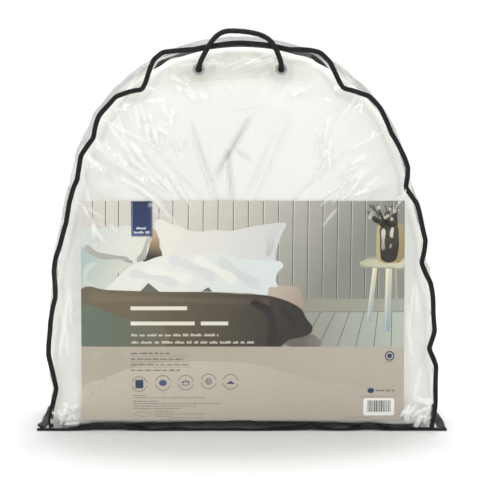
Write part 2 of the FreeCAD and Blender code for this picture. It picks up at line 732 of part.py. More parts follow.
def zipPull():
    """A bar through the bail, two arms round it and the tab, lying along the zip."""
    body = newBody("zip_pull")
    outerFace = s.seam_depth + s.coil_size + s.slip + s.slider_wall
    axis = outerFace + s.pull_axis_rise
    half = s.pull_half_width
    bar = circleSketch(body, "pull_bar", "XY_Plane", s.zip_height - half,
                       [(s.slider_rest, axis, s.pull_half_thick)])
    pad(body, bar, half * 2)
    y = (axis - s.pull_half_thick, axis + s.pull_half_thick)
    armEnd = s.slider_rest - s.pull_arm_length
    armHeights = {"low": (s.zip_height - half, s.zip_height - half + s.pull_arm_width),
                  "high": (s.zip_height + half - s.pull_arm_width, s.zip_height + half)}
    for name, z in armHeights.items():
        block(body, f"pull_arm_{name}", (armEnd, s.slider_rest), y, z)
    tip = s.slider_rest - s.pull_length
    block(body, "pull_tab", (tip, armEnd), y, (s.zip_height - half, s.zip_height + half))
    hole = circleSketch(body, "pull_hole", "XZ_Plane", -(y[0] - clear),
                        [(tip + s.pull_hole_in, s.zip_height, s.pull_hole)])
    pocket(body, hole, s.pull_half_thick * 2 + clear * 2)
    return body


# ---------- card, pillow and labels ----------

def insertCard():
    body = newBody("insert_card")
    face = front + s.bulge_rise - s.card_gap
    half = s.card_width * 0.5
    outline = boxSketch(body, "card_outline", "XZ_Plane", face - s.card_thick, -half, half,
                        s.card_base, s.card_base + s.card_height)
    pad(body, outline, s.card_thick)
    return body


def barcodeSticker():
    body = newBody("barcode_label")
    half = s.sticker_width * 0.5
    outline = boxSketch(body, "sticker_outline", "XZ_Plane", front + s.bulge_rise - s.card_gap,
                        s.sticker_middle - half, s.sticker_middle + half,
                        s.sticker_base, s.sticker_base + s.sticker_height)
    pad(body, outline, s.sticker_thick)
    return body


def pillowForm(name, inward):
    """The folded pillow: an arch with two arms, rounded all over, faces swollen."""
    body = newBody(name)
    inward = asSize(inward)
    half = s.pillow_half_depth - inward
    inset = s.pillow_inset + inward
    base = s.pillow_base + inward
    block_ = pad(body, archSketch(body, f"{name}_outline", -half, inset=inset,
                                  drop=s.pillow_drop, base=base), half * 2)
    doc.recompute()
    edges = []
    for index, edge in enumerate(block_.Shape.Edges, start=1):
        box = edge.BoundBox
        onFace = box.YLength < 0.01
        onFoot = box.YLength > 1 and box.ZMax < base.value + 0.01
        if onFace or onFoot:
            edges.append(f"Edge{index}")
    soften(body, f"{name}_rounding", block_, edges, s.pillow_round - inward)
    backBase = s.back_bulge_base + s.bulge_slope
    for side, outward, low in (("front", 1, base + s.pillow_crown_base_inset),
                               ("back", -1, backBase + inward)):
        spread = s.pillow_crown_inset - s.pillow_crown_base_inset
        foot = archSketch(body, f"{name}_{side}_foot", half * outward,
                          inset=inset + s.pillow_crown_base_inset, drop=s.pillow_drop, base=low)
        crown = archSketch(body, f"{name}_{side}_crown", (half + s.pillow_crown_rise) * outward,
                           inset=inset + s.pillow_crown_inset, drop=s.pillow_drop,
                           base=low + spread)
        loft(body, "Additive", foot, crown)
    reach = half + s.pillow_crown_rise + clear
    halfGap = s.arm_gap * 0.5 + inward
    pocket(body, boxSketch(body, f"{name}_slit", "XZ_Plane", reach, -halfGap, halfGap, below,
                           s.crotch_height), reach * 2)
    pocket(body, circleSketch(body, f"{name}_crotch", "XZ_Plane", reach,
                              [(0, s.crotch_height, s.crotch_radius + inward)]), reach * 2)
    return body


def pillow():
    """A closed casing with the filling inside it."""
    outer = pillowForm("casing_outer", 0)
    inner = pillowForm("casing_inner", s.casing_thick)
    casing = doc.addObject("Part::Cut", "pillow_casing")
    casing.Base = outer
    casing.Tool = inner
    casing.Label = "pillow_casing"
    fill = pillowForm("pillow_fill", s.casing_thick + s.fill_gap)
    return [casing, fill]


def careLabel():
    """Sewn to the back of the casing, above the zip."""
    body = newBody("care_label")
    face = s.pillow_half_depth + s.care_gap
    block(body, "care_strip", (s.care_left, s.care_left + s.care_width),
          (face, face + s.care_thick), (s.care_base, s.care_base + s.care_height))
    return body


pieces = [
    frontPanel(),
    *backPanels(),
    gusset(),
    *footPieces(),
    archBinding("front_binding", front),
    archBinding("back_binding", back),
    handlePatch(),
]
for side, across in (("left", s.handle_middle - s.eyelet_half_gap),
                     ("right", s.handle_middle + s.eyelet_half_gap)):
    def circleAt(radius, across=across):
        return (across, s.eyelet_height, radius)

    pieces += eyelet(side, circleAt)
    pieces += ropeEnd(side, across)
pieces += [handleRope(), *zipPieces(), zipSlider(), zipPull()]
pieces += [insertCard(), barcodeSticker(), *pillow(), careLabel()]

doc.recompute()
for feature in doc.Objects:
    if "Invalid" in feature.State or "Error" in feature.State:
        raise RuntimeError(f"{feature.Name} failed: {feature.State}")

os.makedirs("parts", exist_ok=True)
for piece in pieces:
    shape = piece.Shape
    if shape.isNull() or not shape.isValid() or len(shape.Solids) != 1 or shape.Volume <= 0:
        raise RuntimeError(f"{piece.Label} has a bad shape")
    shape.exportStep(f"parts/{piece.Label}.step")
    box = shape.BoundBox
    print(f"{piece.Label:22s} volume {shape.Volume:12.1f}"
          f"  x {box.XMin:7.1f} {box.XMax:7.1f}  y {box.YMin:7.1f} {box.YMax:7.1f}"
          f"  z {box.ZMin:6.1f} {box.ZMax:6.1f}")
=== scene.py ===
import math

import bpy
import numpy as np
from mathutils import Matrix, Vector


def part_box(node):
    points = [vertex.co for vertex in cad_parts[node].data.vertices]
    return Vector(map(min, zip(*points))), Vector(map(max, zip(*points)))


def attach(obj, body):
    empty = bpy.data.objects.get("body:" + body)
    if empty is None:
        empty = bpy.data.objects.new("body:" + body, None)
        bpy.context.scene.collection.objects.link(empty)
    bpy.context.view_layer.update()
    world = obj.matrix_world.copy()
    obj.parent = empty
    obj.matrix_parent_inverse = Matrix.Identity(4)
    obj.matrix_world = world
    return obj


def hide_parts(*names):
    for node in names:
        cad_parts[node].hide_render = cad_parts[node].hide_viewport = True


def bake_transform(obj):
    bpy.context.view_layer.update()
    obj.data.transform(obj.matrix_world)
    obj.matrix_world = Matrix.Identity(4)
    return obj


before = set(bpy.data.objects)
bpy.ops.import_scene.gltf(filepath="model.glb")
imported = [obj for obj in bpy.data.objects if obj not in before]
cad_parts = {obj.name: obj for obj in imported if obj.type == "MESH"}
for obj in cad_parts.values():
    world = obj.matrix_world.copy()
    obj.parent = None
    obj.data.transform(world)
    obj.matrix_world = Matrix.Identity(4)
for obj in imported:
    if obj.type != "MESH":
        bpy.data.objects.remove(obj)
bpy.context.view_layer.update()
mm = 0.001
scene = bpy.context.scene
print("frame loaded:", len(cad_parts), "nodes")

view = {
    "target": (-2.6, -100, 252.8),  # mm, what stands in the middle of the picture
    "distance": 2400,
    "rise": 5.0,  # degrees above level
    "width": 628.8,  # mm seen across at the front panel
    "sensor": 36,
}


def setCamera():
    bpy.ops.object.camera_add()
    camera = bpy.context.object
    camera.name = "productCamera"
    rise = math.radians(view["rise"])
    target = Vector(view["target"]) * mm
    back = Vector((0, -math.cos(rise), math.sin(rise)))
    camera.location = target + back * view["distance"] * mm
    camera.rotation_euler = (target - camera.location).to_track_quat("-Z", "Y").to_euler()
    camera.data.sensor_width = view["sensor"]
    camera.data.lens = view["sensor"] * view["distance"] / view["width"]
    camera.data.clip_end = 50
    scene.camera = camera


setCamera()
print("camera set")


def letGo():
    bpy.ops.object.select_all(action="DESELECT")


def pick(*pieces):
    letGo()
    for piece in pieces:
        piece.select_set(True)
    bpy.context.view_layer.objects.active = pieces[0]


def meshPoints(piece):
    points = np.empty(len(piece.data.vertices) * 3)
    piece.data.vertices.foreach_get("co", points)
    return points.reshape(-1, 3)


def setPoints(piece, points):
    piece.data.vertices.foreach_set("co", np.asarray(points, float).ravel())
    piece.data.update()


def applyModifiers(piece):
    pick(piece)
    for modifier in list(piece.modifiers):
        bpy.ops.object.modifier_apply(modifier=modifier.name)


def smoothShade(piece):
    pick(piece)
    bpy.ops.object.shade_smooth()


def joinAll(name, pieces):
    pick(*pieces)
    if len(pieces) > 1:
        bpy.ops.object.join()
    joined = bpy.context.object
    joined.name = joined.data.name = name
    return joined


def fullGrid(name, columns, rows, place, tapeUv=None):
    # a flat grid moved point by point to place(u, v), both from 0 to 1, in mm
    letGo()
    bpy.ops.mesh.primitive_grid_add(x_subdivisions=columns, y_subdivisions=rows, size=2)
    sheet = bpy.context.object
    sheet.name = sheet.data.name = name
    flat = meshPoints(sheet)
    u, v = flat[:, 0] * 0.5 + 0.5, flat[:, 1] * 0.5 + 0.5
    setPoints(sheet, place(u, v) * mm)
    if tapeUv:
        corners = np.empty(len(sheet.data.loops), np.int32)
        sheet.data.loops.foreach_get("vertex_index", corners)
        uv = np.stack([u * tapeUv[0], v * tapeUv[1]], 1)[corners]
        sheet.data.uv_layers.active.data.foreach_set("uv", uv.ravel())
    smoothShade(sheet)
    return sheet


def closeUp(piece, gap=0.02):
    # welds the edges a wrapped grid brings together, caps its ends, turns its faces out
    pick(piece)
    bpy.ops.object.mode_set(mode="EDIT")
    bpy.ops.mesh.select_all(action="SELECT")
    bpy.ops.mesh.remove_doubles(threshold=gap * mm)
    bpy.ops.mesh.fill_holes(sides=0)
    bpy.ops.mesh.select_all(action="SELECT")
    bpy.ops.mesh.normals_make_consistent(inside=False)
    bpy.ops.object.mode_set(mode="OBJECT")


def giveWall(piece, thickness):
    wall = piece.modifiers.new("wall", "SOLIDIFY")
    wall.thickness = thickness * mm
    wall.offset = 0
    applyModifiers(piece)


def dress(piece, material=None, nodes=(), body="bag"):
    if material is not None:
        piece.data.materials.clear()
        piece.data.materials.append(material)
    if body:
        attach(piece, body)
    if nodes:
        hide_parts(*nodes)
    return piece


def easeIn(value, low, high):
    t = np.clip((value - low) / (high - low), 0, 1)
    return t * t * (3 - 2 * t)


def tents(along, waves):
    # straight-sided waves, each (place, half width, height)
    total = np.zeros_like(along, float)
    for place, half, height in waves:
        total += height * np.clip(1 - np.abs(along - place) / half, 0, 1)
    return total


def swell(x, z, pitch, seed):
    # a smooth random rise and fall of about -1 to 1
    luck = np.random.default_rng(seed)
    total = np.zeros_like(x, float)
    for _ in range(7):
        angle = luck.uniform(0, math.pi)
        step = pitch * luck.uniform(0.6, 1.5)
        turn = (x * math.cos(angle) + z * math.sin(angle)) * 2 * math.pi / step
        total += np.sin(turn + luck.uniform(0, 6.3))
    return total / 3.2


def foldRidges(x, z, folds, crisp=False):
    # raised folds along straight lines (x1, z1, x2, z2, half width, height), fading at their ends
    total = np.zeros_like(x, float)
    for x1, z1, x2, z2, width, height in folds:
        dx, dz = x2 - x1, z2 - z1
        long = math.hypot(dx, dz)
        along = ((x - x1) * dx + (z - z1) * dz) / (long * long)
        off = ((x - x1) * dz - (z - z1) * dx) / long
        fade = np.clip(4 * along * (1 - along), 0, None) ** 0.7 * (along > 0) * (along < 1)
        flank = np.clip(1 - np.abs(off) / (1.6 * width), 0, 1) if crisp else np.exp(-((off / width) ** 2))
        total += height * fade * flank
    return total


def sprayFolds(clusters, seed):
    # each cluster: middle x, middle z, reach across, reach along, lean in degrees, spread, count,
    # width, height
    luck = np.random.default_rng(seed)
    folds = []
    for x, z, across, along, lean, spread, count, width, height in clusters:
        for _ in range(count):
            turn = math.radians(lean)
            a, b = luck.uniform(-1, 1) * across, luck.uniform(-1, 1) * along
            cx = x - a * math.sin(turn) + b * math.cos(turn)
            cz = z + a * math.cos(turn) + b * math.sin(turn)
            lie = math.radians(lean + luck.normal() * spread)
            half = luck.uniform(0.35, 1.0) * along * 0.55
            dx, dz = half * math.cos(lie), half * math.sin(lie)
            w = width * luck.uniform(1.0, 2.2)
            h = height * luck.uniform(0.8, 1.7) * luck.choice([-1, 1])
            folds.append((cx - dx, cz - dz, cx + dx, cz + dz, w, h))
    return folds


def addNode(tree, kind, **values):
    node = tree.nodes.new(kind)
    for name, value in values.items():
        if name in node.inputs:
            node.inputs[name].default_value = value
        else:
            setattr(node, name, value)
    return node


def newLook(name):
    look = bpy.data.materials.new(name)
    look.use_nodes = True
    return look, look.node_tree, look.node_tree.nodes["Principled BSDF"]


def placeOn(tree, kind="Object"):
    return tree.nodes.new("ShaderNodeTexCoord").outputs[kind]


def noiseOn(tree, source, scale, detail=2.0, rough=0.5):
    node = addNode(tree, "ShaderNodeTexNoise", Scale=scale, Detail=detail, Roughness=rough)
    tree.links.new(source, node.inputs["Vector"])
    return node.outputs["Fac"]


def waveOn(tree, source, scale, way="X", bend=0.0):
    node = addNode(tree, "ShaderNodeTexWave", Scale=scale, Distortion=bend)
    node.bands_direction = way
    tree.links.new(source, node.inputs["Vector"])
    return node.outputs["Fac"]


def sums(tree, first, second, kind="ADD"):
    node = tree.nodes.new("ShaderNodeMath")
    node.operation = kind
    for socket, value in zip(node.inputs, (first, second)):
        if isinstance(value, (int, float)):
            socket.default_value = value
        else:
            tree.links.new(value, socket)
    return node.outputs[0]


def spread(tree, source, low, high, lowColour, highColour):
    node = tree.nodes.new("ShaderNodeValToRGB")
    for element, place, colour in zip(
        node.color_ramp.elements, (low, high), (lowColour, highColour)
    ):
        element.position = place
        element.color = (*colour, 1)
    tree.links.new(source, node.inputs["Fac"])
    return node.outputs["Color"]


def bumpOn(tree, shader, height, strength, depth):
    bump = addNode(tree, "ShaderNodeBump", Strength=strength, Distance=depth * mm)
    tree.links.new(height, bump.inputs["Height"])
    tree.links.new(bump.outputs["Normal"], shader.inputs["Normal"])
    return bump.outputs["Normal"]


filmLook = {
    "mirror": 0.01,  # share reflected head on, at each face of the film
    "edge": 0.55,  # how much stronger the mirror grows at a glancing angle
    "gloss": 0.04,
    "haze": 0.002,
    "tint": (0.98, 0.98, 0.968, 1),
    "glintWhite": 0.7,  # how white the painted highlight along a sharp crease is
    "crest": 0.33,  # width of the painted highlight line, as a share of its fold's
    "sharp": 2.0,  # a fold this high, in mm, gets the full painted highlight
}


def clearVinyl(name, haze):
    look, tree, standard = newLook(name)
    tree.nodes.remove(standard)
    place = placeOn(tree)
    crinkle = sums(tree, noiseOn(tree, place, 48, 3, 0.55), noiseOn(tree, place, 210, 2, 0.5))
    bump = addNode(tree, "ShaderNodeBump", Strength=0.2, Distance=0.4 * mm)
    tree.links.new(crinkle, bump.inputs["Height"])
    normal = bump.outputs["Normal"]
    facing = addNode(tree, "ShaderNodeLayerWeight", Blend=0.5)
    tree.links.new(normal, facing.inputs["Normal"])
    glance = sums(tree, facing.outputs["Facing"], 5.0, "POWER")
    share = sums(tree, sums(tree, glance, filmLook["edge"], "MULTIPLY"), filmLook["mirror"])
    clear = addNode(tree, "ShaderNodeBsdfTransparent", Color=filmLook["tint"])
    # white diffuse colour for the film's real haze and for the painted highlight along fold crests
    hazeAndGlintWhite = addNode(tree, "ShaderNodeBsdfDiffuse", Color=(0.88, 0.88, 0.86, 1))
    hazeAndGlintMix = tree.nodes.new("ShaderNodeMixShader")
    # share of painted highlight on each fold crest, standing in for glints
    glintAttribute = addNode(tree, "ShaderNodeAttribute", attribute_name="paintedGlint")
    glintShare = sums(tree, glintAttribute.outputs["Fac"], filmLook["glintWhite"], "MULTIPLY")
    tree.links.new(sums(tree, glintShare, haze), hazeAndGlintMix.inputs[0])
    tree.links.new(clear.outputs[0], hazeAndGlintMix.inputs[1])
    tree.links.new(hazeAndGlintWhite.outputs[0], hazeAndGlintMix.inputs[2])
    shine = addNode(tree, "ShaderNodeBsdfGlossy", Roughness=filmLook["gloss"])
    tree.links.new(normal, shine.inputs["Normal"])
    mix = tree.nodes.new("ShaderNodeMixShader")
    for socket, source in zip(mix.inputs, (share, hazeAndGlintMix.outputs[0], shine.outputs[0])):
        tree.links.new(source, socket)
    tree.links.new(mix.outputs[0], tree.nodes["Material Output"].inputs["Surface"])
    return look


def quiltCotton():
    look, tree, cloth = newLook("whiteCotton")
    place = placeOn(tree)
    tone = noiseOn(tree, place, 9, 3)
    colour = spread(tree, tone, 0.3, 0.7, (0.79, 0.79, 0.785), (0.83, 0.83, 0.825))
    tree.links.new(colour, cloth.inputs["Base Color"])
    cloth.inputs["Roughness"].default_value = 0.82
    cloth.inputs["Sheen Weight"].default_value = 0.2
    threads = sums(tree, waveOn(tree, place, 330, "X", 0.4), waveOn(tree, place, 330, "Z", 0.4))
    slub = noiseOn(tree, place, 70, 4, 0.6)
    bumpOn(tree, cloth, sums(tree, sums(tree, threads, 0.2, "MULTIPLY"), slub), 0.35, 0.9)
    return look


def wovenTape(name, colour, sheenColour, ribs, roughness):
    # ribs run across the tape, whose UV map is in tenths of a millimetre along and across
    look, tree, cloth = newLook(name)
    rib = waveOn(tree, placeOn(tree, "UV"), ribs, "X", 0.6)
    # lighter blotches spread at random over the black tape are painted sheen
    sheenBlotches = noiseOn(tree, placeOn(tree), 130, 4, 0.62)
    tree.links.new(spread(tree, sheenBlotches, 0.42, 0.78, colour, sheenColour), cloth.inputs["Base Color"])
    cloth.inputs["Roughness"].default_value = roughness
    cloth.inputs["Specular IOR Level"].default_value = 0.2
    bumpOn(tree, cloth, sums(tree, sums(tree, rib, 0.4, "MULTIPLY"), sheenBlotches), 0.6, 0.5)
    return look


def twistedThread(name, colour, sheenColour, twist):
    look, tree, thread = newLook(name)
    wave = waveOn(tree, placeOn(tree), twist, "DIAGONAL", 1.2)
    # the twist's crests are painted lighter and its grooves darker: painted highlight and shade that follow
    # the bump
    tree.links.new(spread(tree, wave, 0.2, 0.95, colour, sheenColour), thread.inputs["Base Color"])
    thread.inputs["Roughness"].default_value = 0.58
    thread.inputs["Specular IOR Level"].default_value = 0.25
    bumpOn(tree, thread, wave, 0.4, 0.2)
    return look


def brightMetal(name, colour, low, high):
    look, tree, metal = newLook(name)
    metal.inputs["Base Color"].default_value = (*colour, 1)
    metal.inputs["Metallic"].default_value = 1.0
    worn = noiseOn(tree, placeOn(tree), 420, 4, 0.6)
    rough = tree.nodes.new("ShaderNodeMapRange")
    rough.inputs["To Min"].default_value = low
    rough.inputs["To Max"].default_value = high
    tree.links.new(worn, rough.inputs["Value"])
    tree.links.new(rough.outputs["Result"], metal.inputs["Roughness"])
    bumpOn(tree, metal, worn, 0.12, 0.1)
    return look


clearFilm = clearVinyl("clearFilm", filmLook["haze"])
doubledFilm = clearVinyl("doubledFilm", 0.04)
whiteCotton = quiltCotton()
# the second colour of each tape and thread is its painted sheen
blackTape = wovenTape("blackTape", (0.004, 0.004, 0.005), (0.014, 0.014, 0.016), 3.1, 0.5)
blackThread = twistedThread("blackThread", (0.004, 0.004, 0.005), (0.02, 0.02, 0.022), 900)
ropeYarn = twistedThread("ropeYarn", (0.004, 0.004, 0.004), (0.018, 0.018, 0.018), 1500)
nickel = brightMetal("nickelEyelet", (0.36, 0.36, 0.37), 0.14, 0.3)
zipMetal = brightMetal("zipMetal", (0.62, 0.62, 0.63), 0.22, 0.42)
print("materials made")

rope = {
    "thickness": 7.0,
    # the loop's points across and up, and its two ends down through the eyelets
    "left": [(-56.3, -86, 475.4), (-56.3, -93, 475.4), (-56.3, -101.6, 475.2), (-55.6, -103.6, 480.4)],
    "loop": [(-52.5, 488.5), (-45, 502.5), (-36, 516.5), (-24, 524.8), (-7.5, 525.2), (10.5, 523.4),
             (27, 519.3), (38.5, 511.5), (45.5, 499), (50, 487)],
    "right": [(51.2, -103.6, 479.6), (51.2, -101.6, 475.2), (51.2, -93, 475.4), (51.2, -86, 475.4)],
    "depth": -103,
    "strands": 16,
    "braidStep": 13.0,  # mm of rope for one turn of a strand
}


def ropeRoute():
    points = rope["left"] + [(x, rope["depth"], z) for x, z in rope["loop"]] + rope["right"]
    route = bpy.data.curves.new("ropeRoute", "CURVE")
    route.dimensions = "3D"
    spline = route.splines.new("NURBS")
    spline.points.add(len(points) - 1)
    for point, place in zip(spline.points, points):
        point.co = (*(Vector(place) * mm), 1)
    spline.order_u = 3
    spline.use_endpoint_u = True
    spline.resolution_u = 14
    holder = bpy.data.objects.new("ropeRoute", route)
    scene.collection.objects.link(holder)
    bpy.context.view_layer.update()
    line = bpy.data.meshes.new_from_object(holder)
    path = np.array([tuple(vertex.co) for vertex in line.vertices]) / mm
    bpy.data.objects.remove(holder)
    return path


def evenly(path, step):
    steps = np.linalg.norm(np.diff(path, axis=0), axis=1)
    run = np.concatenate([[0], np.cumsum(steps)])
    wanted = np.linspace(0, run[-1], max(2, int(round(run[-1] / step)) + 1))
    return np.stack([np.interp(wanted, run, path[:, i]) for i in range(3)], 1), wanted


def carriedFrames(path):
    # a side and an up direction carried along the path without twisting
    ahead = np.gradient(path, axis=0)
    ahead /= np.linalg.norm(ahead, axis=1)[:, None]
    side = np.zeros_like(path)
    side[0] = np.cross(ahead[0], (0, 0, 1)) if abs(ahead[0][2]) < 0.9 else (1, 0, 0)
    for i in range(len(path)):
        if i:
            side[i] = side[i - 1]
        side[i] -= ahead[i] * (side[i] @ ahead[i])
        side[i] /= np.linalg.norm(side[i])
    return side, np.cross(ahead, side)


def tubes(name, lines, radius, roundness=1, cyclic=False):
    # bevelled lines made into one mesh
    curve = bpy.data.curves.new(name, "CURVE")
    curve.dimensions = "3D"
    curve.bevel_depth = radius * mm
    curve.bevel_resolution = roundness
    curve.use_fill_caps = not cyclic
    for line in lines:
        spline = curve.splines.new("POLY")
        spline.points.add(len(line) - 1)
        flat = np.concatenate([np.asarray(line) * mm, np.ones((len(line), 1))], 1)
        spline.points.foreach_set("co", flat.ravel())
        spline.use_cyclic_u = cyclic
    holder = bpy.data.objects.new(name, curve)
    scene.collection.objects.link(holder)
    pick(holder)
    bpy.ops.object.convert(target="MESH")
    made = bpy.context.object
    smoothShade(made)
    return made


def braid(name, path, thickness, strands, turnStep, step=1.0):
    # strands wound both ways round the path, passing over and under each other
    centre, run = evenly(path, step)
    side, up = carriedFrames(centre)
    strandRadius = thickness * 0.17
    middle = thickness / 2 - strandRadius * 1.15
    lines = []
    half = strands // 2
    for index in range(strands):
        way = 1 if index < half else -1
        turn = way * run / turnStep * 2 * math.pi + 2 * math.pi * (index % half) / half
        weave = np.cos(half * turn / 2 + (0 if way > 0 else math.pi / 2) + math.pi * (index % 2))
        reach = middle + strandRadius * 0.45 * weave
        lines.append(centre + (np.cos(turn) * reach)[:, None] * side
                     + (np.sin(turn) * reach)[:, None] * up)
    return tubes(name, lines, strandRadius, 0)


def stopperKnot(name, x, z):
    # a three-lobed knot of thinner, pulled-tight rope behind the panel
    turn = np.linspace(0, 2 * math.pi, 90)[:-1]
    path = np.stack([x + (np.sin(turn) + 2 * np.sin(2 * turn)) * 1.5,
                     -88.7 - np.sin(3 * turn) * 1.7,
                     z + (np.cos(turn) - 2 * np.cos(2 * turn)) * 1.5], 1)
    core = tubes(name + "Core", [path], 1.55, 1, cyclic=True)
    return joinAll(name, [core, braid(name + "Yarn", path, 3.7, 12, 9, 0.7)])


ropePath = ropeRoute()
handleRope = braid("handleRope", ropePath, rope["thickness"], rope["strands"], rope["braidStep"])
dress(handleRope, ropeYarn, ("rope_end_left", "rope_end_right", "handle_rope"), None)
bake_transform(handleRope)
for knotName, knotNode, eyelet in (("ropeKnotLeft", "rope_knot_left", "eyelet_left"),
                                   ("ropeKnotRight", "rope_knot_right", "eyelet_right")):
    low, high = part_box(eyelet)
    knot = stopperKnot(knotName, (low.x + high.x) / 2 / mm, (low.z + high.z) / 2 / mm)
    dress(knot, ropeYarn, (knotNode,))

outline = {
    # the arch in mm, three arcs on each side that meet without a corner
    "height": 512, "crown": 250, "shoulder": 206, "side": 906,
    "shoulderAcross": 17.6, "sideRise": 82.6,
    # the bound seam stands out where the crown turns into a shoulder and pinches in below that
    "cornerWidth": 40, "cornerStand": 9,
    "pinchBelow": 50, "pinchWidth": 34, "pinchDepth": 16,
    # further down it bends in and out at random
    "bendEvery": 95, "bendWidth": 32, "bendDepth": 8,
    "footGap": 12,  # no bend starts this close to a foot
    "backShare": 0.6,  # how strong the bends of the back seam are beside the front's
    "wobble": 1.2,
}


def archArcs():
    # radius, centre across, centre up and the angle from upright where each arc ends
    crownReach = outline["crown"] - outline["shoulder"]
    sideReach = outline["side"] - outline["shoulder"]
    crownRise = outline["height"] - outline["crown"]
    crownTurn = math.asin(outline["shoulderAcross"] / crownReach)
    shoulderRise = crownRise + crownReach * math.cos(crownTurn)
    shoulderTurn = math.acos((shoulderRise - outline["sideRise"]) / sideReach)
    sideAcross = outline["shoulderAcross"] - sideReach * math.sin(shoulderTurn)
    footTurn = math.pi / 2 + math.asin(outline["sideRise"] / outline["side"])
    return [(outline["crown"], 0, crownRise, crownTurn),
            (outline["shoulder"], outline["shoulderAcross"], shoulderRise, shoulderTurn),
            (outline["side"], sideAcross, outline["sideRise"], footTurn)]


def archLine():
    # points and outward directions from the left foot over the crown to the right foot
    arcs = archArcs()
    angle = np.linspace(0, arcs[-1][3], 1500)
    x, z = np.zeros_like(angle), np.zeros_like(angle)
    start = 0
    for radius, across, rise, end in arcs:
        here = (angle >= start - 1e-9) & (angle <= end + 1e-9)
        x[here] = across + radius * np.sin(angle[here])
        z[here] = rise + radius * np.cos(angle[here])
        start = end
    half = np.stack([x, z, np.sin(angle), np.cos(angle)], 1)
    whole = np.concatenate([half[::-1] * (-1, 1, -1, 1), half[1:]])
    run = np.concatenate([[0], np.cumsum(np.hypot(*np.diff(whole[:, :2], axis=0).T))])
    return whole, run


arch, archRun = archLine()
archLength = archRun[-1]
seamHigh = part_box("front_binding")[1]
arch[:, 0] *= seamHigh.x / mm / arch[:, 0].max()
arch[:, 1] *= seamHigh.z / mm / arch[:, 1].max()
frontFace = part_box("gusset")[0].y / mm
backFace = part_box("gusset")[1].y / mm


def archAt(along):
    return [np.interp(along, archRun, arch[:, i]) for i in range(4)]


def seamBends(seed, share):
    # bends as (place, half width, shift), from each crown corner down to its foot
    luck = np.random.default_rng(seed)
    crownRadius, _, _, crownTurn = archArcs()[0]
    bends = []
    for side in (-1, 1):
        corner = archLength / 2 + side * crownRadius * crownTurn
        pinch = corner + side * outline["pinchBelow"]
        bends.append((corner, outline["cornerWidth"], outline["cornerStand"] * share))
        drawn = outline["pinchDepth"] * share * luck.uniform(0.8, 1.2)
        bends.append((pinch, outline["pinchWidth"], -drawn))
        place = pinch + side * outline["bendEvery"] * luck.uniform(0.7, 1.1)
        while outline["footGap"] < place < archLength - outline["footGap"]:
            depth = outline["bendDepth"] * share * luck.uniform(0.5, 1.2)
            bends.append((place, outline["bendWidth"] * luck.uniform(0.7, 1.5), -depth))
            place += side * outline["bendEvery"] * luck.uniform(0.6, 1.3)
    return bends


seamWaves = {"front": seamBends(5, 1.0), "back": seamBends(8, outline["backShare"])}


def seamAt(along, inset=0.0, waves="front"):
    x, z, outX, outZ = archAt(along)
    shift = tents(along, seamWaves[waves]) + outline["wobble"] * swell(along, along * 0, 60, 14) - inset
    return x + outX * shift, z + outZ * shift


def seamGap(x, z, waves="front", inset=3.0):
    # distance from each point to the seam
    along = np.linspace(0, archLength, 500)
    sx, sz = seamAt(along, inset, waves)
    bottom = np.linspace(sx[0], sx[-1], 160)
    sx, sz = np.concatenate([sx, bottom]), np.concatenate([sz, np.full(160, 2.0)])
    gap = np.empty_like(x)
    for start in range(0, len(x), 4000):
        part = slice(start, start + 4000)
        gap[part] = np.sqrt(((x[part, None] - sx) ** 2 + (z[part, None] - sz) ** 2).min(1))
    return gap


def panelPlace(u, v, waves, foot):
    # a grid that fills the arch: feet at its lower corners, shoulders at its upper ones
    shoulders = (archLength / 2 - 168, archLength / 2 + 168)
    inset = 3.0
    left = np.array(seamAt(v * shoulders[0], inset, waves))
    right = np.array(seamAt(archLength - v * (archLength - shoulders[1]), inset, waves))
    top = np.array(seamAt(shoulders[0] + u * (shoulders[1] - shoulders[0]), inset, waves))
    c00 = np.array([c[0] for c in seamAt(np.array([0.0]), inset, waves)])[:, None]
    c10 = np.array([c[0] for c in seamAt(np.array([archLength]), inset, waves)])[:, None]
    c01 = np.array([c[0] for c in seamAt(np.array([shoulders[0]]), inset, waves)])[:, None]
    c11 = np.array([c[0] for c in seamAt(np.array([shoulders[1]]), inset, waves)])[:, None]
    bottom = c00 * (1 - u) + c10 * u
    spot = (bottom * (1 - v) + top * v + left * (1 - u) + right * u
            - (c00 * (1 - u) * (1 - v) + c10 * u * (1 - v) + c01 * (1 - u) * v + c11 * u * v))
    x, z = spot
    return x, z + foot(x) * (1 - v) ** 6


card = {
    "left": -211, "right": 213, "bottom": 13.5, "top": 304.5,
    "gap": 1.5,  # behind the film
    "board": 0.5,
    "square": 8.0,  # the print bends over squares of this size
    "layer": 0.11,
}


